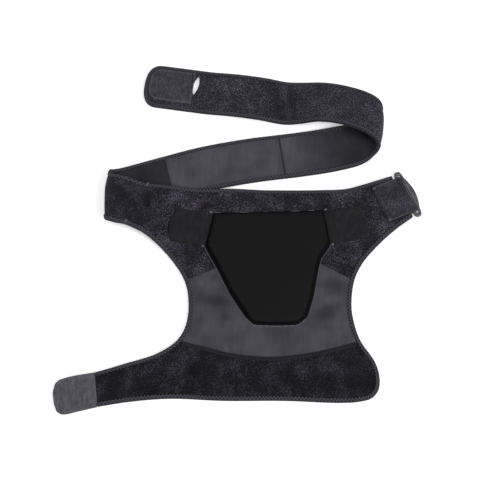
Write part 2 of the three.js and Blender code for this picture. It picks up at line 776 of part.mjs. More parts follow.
function cut(geometry, cutter) {
  const asManifold = (source) => new wasm.Manifold(new wasm.Mesh({
    numProp: 3,
    vertProperties: new Float32Array(source.attributes.position.array),
    triVerts: new Uint32Array(source.index.array),
  }));
  const result = asManifold(geometry).subtract(asManifold(cutter)).getMesh();
  const geometryOut = new THREE.BufferGeometry();
  geometryOut.setAttribute('position', new THREE.Float32BufferAttribute(result.vertProperties, 3));
  geometryOut.setIndex(Array.from(result.triVerts));
  geometryOut.computeVertexNormals();
  return geometryOut;
}

// The strap's binding: down one edge, round the tip and back along the other.
function strapBinding() {
  const half = STRAP_WIDTH / 2;
  const near = stepsToTip.map((s) => point(s, -half));
  const arc = TIP_ANGLES.map((angle) => onTip(angle, 0)).map((p) => point(p.x, -p.y));
  const far = [...near, ...arc].reverse().map((p) => point(p.x, -p.y));
  const path = [...near, ...arc, point(strap.length, 0), ...far];
  const inner = moved(path, BINDING_WIDTH);
  return sweep(BINDING, path.map((p, i) => (x, y) => {
    const at = p.clone().lerp(inner[i], x / BINDING_WIDTH);
    return strap.at(at.x, at.y, y - BOUND / 2);
  }));
}

// The hook patch sewn on the tip's upper face, which is the strap's loop side.
function hookPatch() {
  const end = strap.length - BINDING_WIDTH;
  const half = STRAP_WIDTH / 2 - PATCH_MARGIN;
  const flat = [0, 12, 30].map((past) => PATCH_START + past);
  const alongs = [...flat, end - 16, end - 12, end - 8, end - 5, end - 3];
  const columns = alongs.map((s) => {
    const into = Math.max(0, (s - end + 16) / 14);
    const w = half * (1 - 0.5 * into ** 1.7);
    return [point(s, -w), point(s, 0), point(s, w)];
  });
  const base = NEOPRENE / 2 + CLEAR;
  const face = (v) => (s, u) => strap.at(s, u, v);
  return slab(columns, face(-base), face(-base - PATCH_THICKNESS));
}

// Ring and tab

const SLOT_OUTER = RING_THICKNESS / 2 + PIVOT_CLEAR + TAB_THICKNESS + RING_FOLD_GAP;
const RING_HALF = TAB_WIDTH / 2 + RING_SIDE_PLAY + RING_END_BAR;
const RING_REACH = SLOT_OUTER + RING_OUTER_BAR + RING_BULGE;

// The ring in its own frame: the pivot bar along y through the origin, the outer bar at +x.
function ringGeometry() {
  const steps = 44;
  const chamfer = RING_THICKNESS * 0.29;
  const bar = RING_THICKNESS / 2;
  const middle = (bar + SLOT_OUTER) / 2;
  const slotHalf = RING_HALF - RING_END_BAR;
  const squared = (value, power) => Math.sign(value) * Math.abs(value) ** power;
  const stations = Array.from({ length: steps }, (_, i) => {
    const angle = (2 * Math.PI * (i + 0.5)) / steps;
    const [c, s] = [Math.cos(angle), Math.sin(angle)];
    const slotX = middle + (SLOT_OUTER - middle) * squared(c, 0.12);
    const inner = point(slotX, slotHalf * squared(s, 0.5));
    const y = RING_HALF * squared(s, 0.6);
    const fromMiddle = Math.min(1, Math.abs(y) / (RING_HALF * 0.8));
    const bulge = c > 0 ? RING_BULGE * Math.cos((Math.PI / 2) * fromMiddle) : 0;
    const reach = c > 0 ? SLOT_OUTER + RING_OUTER_BAR - middle : middle + bar;
    const outer = point(middle + reach * squared(c, 0.42) + bulge, y);
    return (x, z) => {
      const at = inner.clone().lerp(outer, x);
      return new THREE.Vector3(at.x, at.y, z);
    };
  });
  const share = chamfer / RING_THICKNESS;
  const half = RING_THICKNESS / 2;
  const section = [
    point(0, -half + chamfer),
    point(share, -half),
    point(1 - share, -half),
    point(1, -half + chamfer),
    point(1, half - chamfer),
    point(1 - share, half),
    point(share, half),
    point(0, half - chamfer),
  ];
  return sweep(section, stations, true);
}

// The ring hangs down from its pivot until its outer bar meets the surface.
function ringDroop() {
  const half = RING_THICKNESS / 2;
  let droop = 0;
  const lowest = (angle) => (
    PIVOT_HEIGHT - half * Math.cos(angle) - (RING_REACH - half * 0.6) * Math.sin(angle)
  );
  while (lowest(droop) > 0.1) {
    droop += 0.001;
  }
  return droop;
}

// The tab's section: two layers that hold the panel's end and turn round the ring's bar.
function tabShape() {
  const inner = RING_THICKNESS / 2 + PIVOT_CLEAR;
  const outer = inner + TAB_THICKNESS;
  const layer = NEOPRENE / 2 + CLEAR;
  const corner = 11.25;
  const turn = [-7, -5, -3, -1, 1, 3, 5, 7].map((k) => rad(k * corner));
  const arc = (r) => turn.map((a) => (
    point(Math.cos(a), Math.sin(a)).multiplyScalar(r / Math.cos(rad(corner)))
  ));
  const shape = [
    point(-TAB_LENGTH, -layer - TAB_THICKNESS),
    point(-inner * 2, -layer - TAB_THICKNESS),
    ...arc(outer),
    point(-inner * 2, layer + TAB_THICKNESS),
    point(-TAB_LENGTH, layer + TAB_THICKNESS),
    point(-TAB_LENGTH, layer),
    point(-inner * 2, layer),
    ...arc(inner).reverse(),
    point(-inner * 2, -layer),
    point(-TAB_LENGTH, -layer),
  ];
  return new THREE.Shape(shape);
}

function tabGeometry() {
  const geometry = new THREE.ExtrudeGeometry(tabShape(), { depth: TAB_WIDTH, bevelEnabled: false });
  geometry.translate(0, 0, -TAB_WIDTH / 2);
  geometry.rotateX(Math.PI / 2);
  return geometry;
}

// Assembly

const cloth = (color, roughness = 0.95) => (
  new THREE.MeshStandardMaterial({ color, roughness, metalness: 0 })
);
const LOOP = cloth('#25232a');
const SMOOTH = cloth('#413f47', 0.85);
const BINDING_CLOTH = cloth('#2b2a30');
const PAD_CLOTH = cloth('#191a19', 0.7);
const WING_CLOTH = cloth('#232325');
const HOOK = cloth('#55545c');
const TIP_HOOK = cloth('#404048');
const PLASTIC = new THREE.MeshStandardMaterial({ color: '#5c5c60', roughness: 0.4, metalness: 0 });

function named(name, geometry, material) {
  const mesh = new THREE.Mesh(geometry, material);
  mesh.name = name;
  return mesh;
}

const brace = new THREE.Group();
brace.add(
  named('upper_panel', upperPanel(), LOOP),
  named('middle_panel', middlePanel(), SMOOTH),
  named('lower_panel', lowerPanel(), LOOP),
  named('neck_binding', bodyBinding(neckline), BINDING_CLOTH),
  named('outer_binding', bodyBinding(outerEdge), BINDING_CLOTH),
  named('waist_binding', bodyBinding(waistEdge), BINDING_CLOTH),
  named('seam_tape', seamTape(), BINDING_CLOTH),
  named('arm_hook_tab', armTab(), HOOK),
  named('pad', cushion(padOutline, PAD_THICKNESS, PAD_LEVELS, PAD_BASE), PAD_CLOTH),
  named('left_pad_wing', padWing(-1), WING_CLOTH),
  named('right_pad_wing', padWing(1), WING_CLOTH),
  named('chest_strap', strapBand(), LOOP),
  named('strap_binding', strapBinding(), BINDING_CLOTH),
  named('strap_hook_patch', hookPatch(), TIP_HOOK),
);

const ringSeat = new THREE.Group();
ringSeat.position.set(PIVOT.x, PIVOT.y, PIVOT_HEIGHT);
ringSeat.rotation.z = rad(RING_ANGLE);
const tab = named('ring_tab', tabGeometry(), LOOP);
const ring = named('strap_ring', ringGeometry(), PLASTIC);
ring.rotation.y = ringDroop();
ringSeat.add(tab, ring);
brace.add(ringSeat);

// The origin is the middle of the brace's own box, on the surface that it lies on.
brace.updateMatrixWorld(true);
const box = new THREE.Box3().setFromObject(brace, true);
const middle = box.getCenter(new THREE.Vector3());
brace.position.set(-middle.x, -middle.y, -box.min.z);

const group = new THREE.Group();
group.add(brace);

export default group;
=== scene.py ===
"""The looks of a neoprene shoulder brace that lies open on a pale floor.

Every shape is worked out in millimetres in the brace's own plan (x to the right, y away from the
viewer, z up from the surface) and then put in the frame through the ring's joint.
"""

import json
import math

import bmesh
import bpy
import numpy as np
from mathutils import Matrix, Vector, noise


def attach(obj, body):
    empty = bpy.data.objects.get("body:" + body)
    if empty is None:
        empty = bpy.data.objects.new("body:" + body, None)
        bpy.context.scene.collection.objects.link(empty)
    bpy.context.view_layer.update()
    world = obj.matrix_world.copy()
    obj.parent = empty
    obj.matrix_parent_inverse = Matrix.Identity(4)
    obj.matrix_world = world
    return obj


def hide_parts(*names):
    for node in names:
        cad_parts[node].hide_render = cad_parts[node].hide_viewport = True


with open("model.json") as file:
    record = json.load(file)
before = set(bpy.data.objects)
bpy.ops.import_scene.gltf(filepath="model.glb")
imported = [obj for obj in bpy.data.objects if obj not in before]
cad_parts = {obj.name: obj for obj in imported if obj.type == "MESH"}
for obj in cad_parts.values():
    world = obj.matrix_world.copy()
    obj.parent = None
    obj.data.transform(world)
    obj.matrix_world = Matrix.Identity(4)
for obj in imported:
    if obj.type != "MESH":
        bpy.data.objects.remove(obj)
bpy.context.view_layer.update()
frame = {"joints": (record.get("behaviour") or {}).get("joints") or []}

# Sizes in millimetres
NEOPRENE = 3.4
TAPE = 0.9
BINDING_WIDTH = 6.0
CLEAR = 0.35
BODY_WIDTH = 400.0
BODY_DEPTH = 320.0
NECK_END_GAP = 3.0
ARM_TAB_LENGTH = 60.0
LIFT_RAMP = 70.0
WING_RISE = 8.0
WING_RAMP = 80.0
TAB_RAMP = 41.0
PAD_WIDTH = 184.0
PAD_DEPTH = 174.0
PAD_WING_REACH = 54.0
PAD_WING_DEPTH = 58.0
PAD_WING_THICKNESS = 1.8
STRAP_WIDTH = 72.0
STRAP_REACH = 411.0
STRAP_RISE = 195.0
FRONT_BAND = 48.0
FRONT_BAND_RISE = 9.0
BEND_HEIGHT = 33.0
TIP_ROUNDING = 25.0
TIP_SQUARENESS = 0.8
PATCH_LENGTH = 66.0
PATCH_MARGIN = 9.4
PATCH_SHIFT = 2.9
PATCH_SLOPE = 7.0
PATCH_TIP_GAP = 1.0
PATCH_THICKNESS = 1.6
SLOT_LENGTH = 34.0
SLOT_WIDTH = 8.5
SLOT_FROM_PATCH = 1.3
SLOT_FROM_MIDDLE = 10.0
SLOT_SLOPE = 5.0
RING_ANGLE = 23.5
RING_THICKNESS = 5.0
RING_END_BAR = 6.3
RING_OUTER_BAR = 5.6
RING_BULGE = 3.9
RING_SIDE_PLAY = 3.0
RING_FOLD_GAP = 2.6
PIVOT_CLEAR = 0.5
TAB_WIDTH = 58.0
TAB_LENGTH = 41.0
TAB_THICKNESS = 1.7

EDGE = TAPE + CLEAR
BOUND = NEOPRENE + 2 * EDGE
FACE = EDGE + NEOPRENE
STRAP_LIFT = BOUND + CLEAR
PIVOT_HEIGHT = RING_THICKNESS / 2 + PIVOT_CLEAR + TAB_THICKNESS
NECK_HALF = TAB_WIDTH / 2 + BINDING_WIDTH + 2 * CLEAR
NECK_END = RING_THICKNESS / 2 + NECK_END_GAP

# Steps of a finished edge for each coarse step, and of a fine curve between two of its places
FINE = 5
CURVE_STEPS = 24
# Steps along the strap between two places of its run
RUN_STEPS = 16
# Over how many millimetres an edge turns into the seam at its end
END_TURN = 6.0
SEAM_LEAN = 27.0
# The body's soft waves, in millimetres, and its play round the ring's tab
WAVE_SIZE = 75.0
WAVE_DEPTH = 1.5
WAVE_RISE = 0.25
TAB_MARGIN = 4.0

# Camera and floor; the floor's sizes are in metres
CAMERA_ELEVATION = math.radians(70)
CAMERA_DISTANCE = 1500.0
CAMERA_AIM = (-42.0, -80.0, 8.0)
SENSOR = 36.0
PICTURE_WIDTH = 480
FOCAL_SHARE = 1034.48 / PICTURE_WIDTH
FLOOR_HALF = 20.0
FLOOR_DROP = 0.0004


def on_body(x, y):
    return np.array([x * BODY_WIDTH, y * BODY_DEPTH])


def turn(degrees):
    a = math.radians(degrees)
    return np.array([math.cos(a), math.sin(a)])


def unit(v):
    v = np.asarray(v, float)
    return v / np.maximum(np.linalg.norm(v, axis=-1, keepdims=True), 1e-12)


def smooth(a, b, x):
    t = np.clip((np.asarray(x, float) - a) / (b - a), 0, 1)
    return t * t * (3 - 2 * t)


# The strap's seam on the left wing
SEAM_TOP = on_body(-0.4325, 0.012)
seam_run = -turn(90 - SEAM_LEAN)
SEAM_BOTTOM = SEAM_TOP + seam_run * STRAP_WIDTH

# The ring's pivot, x outwards across the tab and y along the bar
PIVOT = on_body(0.508, -0.029)
outwards = turn(RING_ANGLE)
along_bar = np.array([-outwards[1], outwards[0]])

pivot_m = frame["joints"][0]["pos_m"]
SHIFT = np.array([pivot_m[0] * 1000 - PIVOT[0], pivot_m[1] * 1000 - PIVOT[1], 0.0])


def at_tab(x, y):
    return PIVOT + outwards * x + along_bar * y


# The camera stands where the photograph was taken from.
target = np.array(CAMERA_AIM) + SHIFT
camera_data = bpy.data.cameras.new("camera")
camera = bpy.data.objects.new("camera", camera_data)
bpy.context.scene.collection.objects.link(camera)
camera.location = Vector((
    target[0] / 1000,
    (target[1] - CAMERA_DISTANCE * math.cos(CAMERA_ELEVATION)) / 1000,
    (target[2] + CAMERA_DISTANCE * math.sin(CAMERA_ELEVATION)) / 1000,
))
camera.rotation_euler = (math.pi / 2 - CAMERA_ELEVATION, 0, 0)
camera_data.sensor_width = SENSOR
camera_data.lens = SENSOR * FOCAL_SHARE
camera_data.shift_x = 1 / PICTURE_WIDTH
camera_data.shift_y = -0.5 / PICTURE_WIDTH
camera_data.clip_start = 0.05
camera_data.clip_end = 20
bpy.context.scene.camera = camera


def on_body_rows(*rows):
    """Rows of an edge from shares of the body's width and depth, and a mark."""
    return [(on_body(x, y), mark) for x, y, mark in rows]


# The body's edges; a mark names a row where a seam meets the edge
NECKLINE = [
    (SEAM_TOP, "seam"),
    *on_body_rows((-0.3425, 0.003, ""), (-0.255, -0.006, "arch"), (-0.1375, -0.003, ""),
                  (-0.005, -0.003, ""), (0.195, -0.003, ""), (0.2925, 0.004, "arch"),
                  (0.35, 0.022, ""), (0.4025, 0.043, "")),
    (at_tab(-NECK_END, NECK_HALF), "neck"),
]
OUTER_EDGE = [
    (at_tab(-NECK_END, -NECK_HALF), "neck"),
    *on_body_rows((0.472, -0.192, ""), (0.41, -0.261, ""), (0.3425, -0.356, ""),
                  (0.309, -0.44, "arch"), (0.295, -0.5625, ""), (0.304, -0.65, ""),
                  (0.322, -0.719, "bowl"), (0.37, -0.816, ""), (0.3825, -0.881, ""),
                  (0.377, -0.936, ""), (0.352, -0.973, "corner"), (0.308, -0.988, ""),
                  (0.245, -0.993, ""), (0.05, -0.984, ""), (-0.1575, -0.984, ""),
                  (-0.345, -0.975, "under"), (-0.48, -0.9875, ""), (-0.59, -1.009, "arm")),
]
WAIST_EDGE = [
    (SEAM_BOTTOM, "seam"),
    *on_body_rows((-0.44, -0.234, ""), (-0.3625, -0.322, ""), (-0.301, -0.44, "arch"),
                  (-0.285, -0.5375, ""), (-0.2925, -0.644, ""), (-0.322, -0.714, "bowl"),
                  (-0.3925, -0.775, ""), (-0.50, -0.819, ""), (-0.605, -0.859, "arm")),
]
ARCH_SEAM = [
    (-0.27, -0.42), (-0.185, -0.378), (-0.105, -0.318), (0.005, -0.285), (0.12, -0.318),
    (0.205, -0.372), (0.28, -0.42),
]
BOWL_SEAM = [
    (-0.2975, -0.719), (-0.215, -0.75), (-0.135, -0.775), (0.005, -0.791), (0.145, -0.773),
    (0.22, -0.753), (0.31, -0.72),
]
ARM_TAB_OUTLINE = [
    (0.0, 0.0), (0.36, 0.015), (0.61, 0.04), (0.82, 0.085), (0.93, 0.18), (1.0, 0.44),
    (0.99, 0.75), (0.935, 1.0), (0.84, 1.09), (0.7, 1.1), (0.45, 1.06), (0.0, 1.0),
]
PAD_OUTLINE = [
    (-0.435, -0.02), (0.0, 0.0), (0.446, 0.01), (0.475, -0.15), (0.492, -0.30), (0.413, -0.42),
    (0.391, -0.52), (0.345, -0.76), (0.297, -0.92), (0.22, -0.985), (0.05, -0.99),
    (-0.114, -0.985), (-0.18, -0.92), (-0.30, -0.72), (-0.408, -0.485), (-0.497, -0.315),
    (-0.467, -0.17),
]
PAD_PLACE = on_body(0, -0.112)

# The strap's run: x, y, height, lean and turn at each place
STRAP_RUN = [
    (0.05, -0.02, 0.66, 0.1, -14), (0.008, 0.012, 0.54, 0.1, -5), (0.0, 0.042, 0.3, 0.08, 2),
    (0.018, 0.07, 0.07, 0.03, 8), (0.07, 0.1, 0.0, 0.0, 12), (0.214, 0.19, 0.0, 0.0, 14),
    (0.35, 0.272, 0.0, 0.0, 12), (0.516, 0.341, 0.0, 0.0, 9), (0.693, 0.392, 0.0, 0.0, 8),
    (0.805, 0.431, 0.0, 0.0, 6), (0.918, 0.49, 0.02, 0.0, 0), (0.972, 0.545, 0.1, -0.04, -6),
    (1.0, 0.594, 0.32, -0.14, -7), (0.987, 0.642, 0.55, -0.24, -8),
    (0.939, 0.7, 0.67, -0.32, -8), (0.859, 0.765, 0.63, -0.38, -7),
    (0.776, 0.805, 0.46, -0.34, -7), (0.71, 0.82, 0.17, -0.12, -7),
    (0.652, 0.83, 0.03, 0.0, -7), (0.562, 0.862, 0.11, 0.0, -8), (0.462, 0.893, 0.11, 0.0, -8),
    (0.355, 0.925, 0.0, 0.0, -8), (0.219, 0.967, 0.0, 0.0, -8), (0.122, 0.997, 0.0, 0.0, -8),
]


def curve_points(rows, from_row, to_row, steps):
    """Places along a centripetal curve through the rows."""
    rows = np.asarray(rows, float)
    last = len(rows) - 1
    before = np.vstack([2 * rows[0] - rows[1], rows, 2 * rows[-1] - rows[-2]])
    out = []
    for p in np.linspace(from_row, to_row, steps + 1):
        k = min(int(math.floor(p + 1e-12)), last - 1)
        w = p - k
        p0, p1, p2, p3 = before[k:k + 4]
        d0 = float(np.linalg.norm(p1 - p0)) ** 0.5
        d1 = float(np.linalg.norm(p2 - p1)) ** 0.5
        d2 = float(np.linalg.norm(p3 - p2)) ** 0.5
        d1 = 1.0 if d1 < 1e-4 else d1
        d0 = d1 if d0 < 1e-4 else d0
        d2 = d1 if d2 < 1e-4 else d2
        t1 = ((p1 - p0) / d0 - (p2 - p0) / (d0 + d1) + (p2 - p1) / d1) * d1
        t2 = ((p2 - p1) / d1 - (p3 - p1) / (d1 + d2) + (p3 - p2) / d2) * d1
        out.append(
            p1 + t1 * w + (-3 * p1 + 3 * p2 - 2 * t1 - t2) * w * w
            + (2 * p1 - 2 * p2 + t1 + t2) * w ** 3
        )
    return np.array(out)


def lengths_of(points):
    return np.concatenate([[0], np.cumsum(np.linalg.norm(np.diff(points, axis=0), axis=1))])


def resample(points, shares):
    """Places at shares of the line's length."""
    points = np.asarray(points, float)
    s = lengths_of(points)
    wanted = np.asarray(shares, float) * s[-1]
    return np.stack([np.interp(wanted, s, points[:, i]) for i in range(points.shape[1])], axis=1)


def place_at(distance, run, line):
    """The place on a line of the plan at a distance along it."""
    return np.array([np.interp(distance, run, line[:, i]) for i in range(2)])


def chain(rows, counts, factor=FINE):
    """A line through the marked rows, with a number of steps between each two marks."""
    marks = [i for i, (_, mark) in enumerate(rows) if mark]
    places = np.array([place for place, _ in rows])
    points, starts = [], []
    for k, count in enumerate(counts):
        first, last = marks[k], marks[k + 1]
        fine = curve_points(places, first, last, CURVE_STEPS * (last - first))
        part = resample(fine, np.linspace(0, 1, count * factor + 1))
        starts.append(len(points))
        points.extend(part if k == len(counts) - 1 else part[:-1])
    starts.append(len(points) - 1)
    return np.array(points), starts


def moved(points, distance, first=None, last=None):
    """The line moved sideways, to the left for a positive distance; its ends may follow seams."""
    run = np.empty_like(points)
    run[1:-1] = points[2:] - points[:-2]
    run[0] = points[1] - points[0]
    run[-1] = points[-1] - points[-2]
    run = unit(run)
    out = points + np.stack([-run[:, 1], run[:, 0]], axis=1) * distance
    s = lengths_of(points)
    for seam, from_seam in ((first, s), (last, s[-1] - s)):
        if seam is not None:
            share = np.clip(from_seam / END_TURN, 0, 1)[:, None]
            out = out * share + (points + np.asarray(seam) * abs(distance)) * (1 - share)
    return out


ARM_SEAM_TOP = WAIST_EDGE[-1][0]
ARM_SEAM_BOTTOM = OUTER_EDGE[-1][0]
arm_seam_run = unit(ARM_SEAM_BOTTOM - ARM_SEAM_TOP)

EDGES = {
    "neck": dict(rows=NECKLINE, counts=[9, 14, 8], side=-1, first=seam_run, last=-along_bar),
    "outer": dict(rows=OUTER_EDGE, counts=[8, 6, 5, 15, 7], side=-1, first=along_bar,
                  last=-arm_seam_run),
    "waist": dict(rows=WAIST_EDGE, counts=[9, 6, 7], side=1, first=-seam_run,
                  last=arm_seam_run),
}
for edge in EDGES.values():
    edge["points"], edge["starts"] = chain(edge["rows"], edge["counts"])


def inside(edge, distance):
    return moved(edge["points"], edge["side"] * distance, edge["first"], edge["last"])


# The strap as a ribbon: s along it, u across it and v through its thickness
SEAM_MIDDLE = (SEAM_TOP + SEAM_BOTTOM) / 2
BEND_PLACE = SEAM_MIDDLE + np.array([-FRONT_BAND, FRONT_BAND_RISE])
SEAM_HEIGHT = STRAP_LIFT + WING_RISE + BOUND / 2


def strap_samples():
    centres = [[*SEAM_MIDDLE, SEAM_HEIGHT]]
    widths = [[-seam_run[0], -seam_run[1], 0]]
    away = (BEND_PLACE - SEAM_MIDDLE) * 0.2
    centres.append([*(SEAM_MIDDLE + away), SEAM_HEIGHT])
    widths.append(widths[0])
    for x, y, height, lean, angle in STRAP_RUN:
        lean = lean * BEND_HEIGHT / STRAP_WIDTH
        flat = math.sqrt(1 - lean * lean)
        a = math.radians(angle)
        centres.append([
            BEND_PLACE[0] + x * STRAP_REACH,
            BEND_PLACE[1] + y * STRAP_RISE,
            BOUND / 2 + height * BEND_HEIGHT,
        ])
        widths.append([-math.sin(a) * flat, math.cos(a) * flat, lean])
    steps = RUN_STEPS * (len(centres) - 1)
    centre = curve_points(centres, 0, len(centres) - 1, steps)
    width = unit(curve_points(widths, 0, len(centres) - 1, steps))
    centre[:, 2] = np.maximum(centre[:, 2], BOUND / 2 + np.abs(width[:, 2]) * STRAP_WIDTH / 2)
    run = np.empty_like(centre)
    run[1:-1] = centre[2:] - centre[:-2]
    run[0] = centre[1] - centre[0]
    run[-1] = centre[-1] - centre[-2]
    face = unit(np.cross(unit(run), width))
    return lengths_of(centre), centre, width, face


strap_s, strap_centre, strap_width, strap_face = strap_samples()
STRAP_LENGTH = float(strap_s[-1])


# Both folds bulge: their edges stay back from their middle. Each has its place along the strap,
# its spread, and how far its upper and lower edges stay back.
FOLD_PLACE = float(strap_s[RUN_STEPS * 4])
FOLDS = ((FOLD_PLACE, 15.0, 8.0, 3.0), (float(strap_s[RUN_STEPS * 14]), 20.0, 6.0, 5.0))


def on_strap(s, u, v):
    """Places on the strap for arrays of s, u and v."""
    s, u, v = np.broadcast_arrays(np.asarray(s, float), u, v)
    edge = (2 * np.abs(u) / STRAP_WIDTH) ** 2.5
    for fold, spread, upper_back, lower_back in FOLDS:
        back = np.where(u > 0, upper_back, lower_back) * edge
        v = v + back * np.exp(-((s - fold) / spread) ** 2)
    k = np.clip(np.searchsorted(strap_s, s), 1, len(strap_s) - 1)
    share = ((s - strap_s[k - 1]) / (strap_s[k] - strap_s[k - 1]))[..., None]
    centre = strap_centre[k - 1] * (1 - share) + strap_centre[k] * share
    width = unit(strap_width[k - 1] * (1 - share) + strap_width[k] * share)
    face = unit(strap_face[k - 1] * (1 - share) + strap_face[k] * share)
    return centre + width * u[..., None] + face * v[..., None]


def strap_place(share):
    """Distance along the strap where its lower run passes a share of its reach."""
    run = slice(RUN_STEPS * 6, RUN_STEPS * 12)
    wanted = BEND_PLACE[0] + share * STRAP_REACH
    return float(np.interp(wanted, strap_centre[run, 0], strap_s[run]))


LINING_SEAMS = (strap_place(0.222), strap_place(0.632))
near_run = slice(RUN_STEPS * 6, RUN_STEPS * 11 + 1)
near_edge = (strap_centre - strap_width * STRAP_WIDTH / 2)[near_run, :2]


def near_edge_height(x):
    """Where the edge of the strap's lower run lies in y, carried on straight past both ends."""
    a, b = near_edge[0], near_edge[1]
    low = a[1] + (b[1] - a[1]) * (x - a[0]) / (b[0] - a[0])
    c, d = near_edge[-2], near_edge[-1]
    high = c[1] + (d[1] - c[1]) * (x - c[0]) / (d[0] - c[0])
    middle = np.interp(x, near_edge[:, 0], near_edge[:, 1])
    return np.where(x < a[0], low, np.where(x > d[0], high, middle))


coarse_neck, _ = chain(NECKLINE, EDGES["neck"]["counts"], 1)
over = coarse_neck[:, 1] > near_edge_height(coarse_neck[:, 0]) - BINDING_WIDTH
CROSSING = float(coarse_neck[over, 0].max()) + BINDING_WIDTH


def bumps(x, y, size, seed):
    """Soft noise between -1 and 1 over the plan, with bumps of about the given size."""
    x, y = np.broadcast_arrays(np.asarray(x, float), np.asarray(y, float))
    flat = [
        noise.noise(Vector((a / size, b / size, seed * 7.31)))
        for a, b in zip(x.ravel(), y.ravel())
    ]
    return np.array(flat).reshape(x.shape)


def lift(x, y):
    """How high the body's underside lies over the surface."""
    x, y = np.broadcast_arrays(np.asarray(x, float), np.asarray(y, float))
    short = np.maximum(0, near_edge_height(x) - y - BINDING_WIDTH)
    past = np.maximum(0, x - CROSSING)
    over_strap = STRAP_LIFT * (1 - smooth(0, LIFT_RAMP, np.hypot(short, past)))
    from_seam = (x - SEAM_TOP[0]) * -seam_run[1] + (y - SEAM_TOP[1]) * seam_run[0]
    rise = 1 - smooth(0, WING_RAMP, np.maximum(0, from_seam))
    seat = PIVOT_HEIGHT - NEOPRENE / 2 - EDGE
    to_pivot = (x - PIVOT[0]) * outwards[0] + (y - PIVOT[1]) * outwards[1]
    tab_start = -TAB_LENGTH - TAB_MARGIN
    in_tab = smooth(tab_start - TAB_RAMP, tab_start, to_pivot)
    calm = (1 - rise) * (1 - in_tab)
    wave = np.maximum(0, WAVE_RISE + WAVE_DEPTH * bumps(x, y, WAVE_SIZE, 1)) * calm
    return over_strap * (1 - rise) + (STRAP_LIFT + WING_RISE) * rise + seat * in_tab + wave


def over_body(x, y, v):
    return np.stack(np.broadcast_arrays(x, y, lift(x, y) + v), axis=-1)


# Meshes
MERGE_DISTANCE = 2e-6


def piece(name, points, faces, materials, body="brace", slots=(), uv=None):
    """A mesh object from places in millimetres that rides on a body."""
    placed = (np.asarray(points, float).reshape(-1, 3) + SHIFT) / 1000
    mesh = bpy.data.meshes.new(name)
    mesh.from_pydata(placed.tolist(), [], [list(map(int, f)) for f in faces])
    for material in materials:
        mesh.materials.append(material)
    if len(slots):
        mesh.polygons.foreach_set("material_index", np.asarray(slots, np.int32))
    if uv is not None:
        layer = mesh.uv_layers.new(name="place")
        uv = np.asarray(uv, float).reshape(-1, 2) / 1000
        corner = np.empty(len(mesh.loops), np.int32)
        mesh.loops.foreach_get("vertex_index", corner)
        layer.data.foreach_set("uv", uv[corner].ravel().astype(np.float32))
    mesh.polygons.foreach_set("use_smooth", [True] * len(mesh.polygons))
    mesh.update()
    made = bpy.data.objects.new(name, mesh)
    bpy.context.scene.collection.objects.link(made)
    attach(made, body)
    return made


def merge(made):
    """Joins points that lie in one place and turns all faces outwards."""
    mesh = bmesh.new()
    mesh.from_mesh(made.data)
    bmesh.ops.remove_doubles(mesh, verts=mesh.verts, dist=MERGE_DISTANCE)
    bmesh.ops.recalc_face_normals(mesh, faces=mesh.faces)
    mesh.to_mesh(made.data)
    mesh.free()
    made.data.update()


def pairs(a, b):
    """Two arrays side by side, each spread over the other's shape."""
    return np.stack(np.broadcast_arrays(a, b), axis=-1)


def grid_faces(columns, rows, offset=0, flip=False, wrap_columns=False, wrap_rows=False):
    i = np.arange(columns if wrap_columns else columns - 1)
    j = np.arange(rows if wrap_rows else rows - 1)
    i, j = np.meshgrid(i, j, indexing="ij")
    i2, j2 = (i + 1) % columns, (j + 1) % rows
    quad = np.stack([i * rows + j, i2 * rows + j, i2 * rows + j2, i * rows + j2], axis=-1)
    quad = quad.reshape(-1, 4) + offset
    return quad[:, ::-1] if flip else quad


def grid_border(columns, rows):
    """Numbers of a grid's outermost points, once round."""
    ring = (
        [(i, 0) for i in range(columns)]
        + [(columns - 1, j) for j in range(1, rows)]
        + [(i, rows - 1) for i in range(columns - 2, -1, -1)]
        + [(0, j) for j in range(rows - 2, 0, -1)]
    )
    return np.array([i * rows + j for i, j in ring])


def slab(lower, upper):
    """Points and faces of a closed slab between two grids of places."""
    columns, rows = lower.shape[:2]
    count = columns * rows
    points = np.concatenate([lower.reshape(-1, 3), upper.reshape(-1, 3)])
    border = grid_border(columns, rows)
    after = np.roll(border, -1)
    wall = np.stack([border, after, after + count, border + count], axis=1)
    faces = [grid_faces(columns, rows, count), grid_faces(columns, rows, flip=True), wall]
    return points, np.concatenate(faces)


def sweep_faces(count, sides, closed_path=False):
    """Faces of a closed section that is carried along a number of stations."""
    faces = grid_faces(count, sides, wrap_columns=closed_path, wrap_rows=True).tolist()
    if not closed_path:
        faces.append(list(range(sides))[::-1])
        faces.append([(count - 1) * sides + k for k in range(sides)])
    return faces


def coons(bottom, top, left, right, shares):
    """Grid of plan places inside four lines; left and right run from bottom to top."""
    left = resample(left, shares)
    right = resample(right, shares)
    n = len(bottom) - 1
    u = (np.arange(n + 1) / n)[:, None, None]
    v = np.asarray(shares)[None, :, None]
    across = bottom[:, None] * (1 - v) + top[:, None] * v
    along = left[None] * (1 - u) + right[None] * u
    corners = (
        (bottom[0] * (1 - u) + bottom[-1] * u) * (1 - v) + (top[0] * (1 - u) + top[-1] * u) * v
    )
    return across + along - corners


# Materials
# The scale of a wave texture whose bands are one unit apart
BAND_SCALE = 0.314159


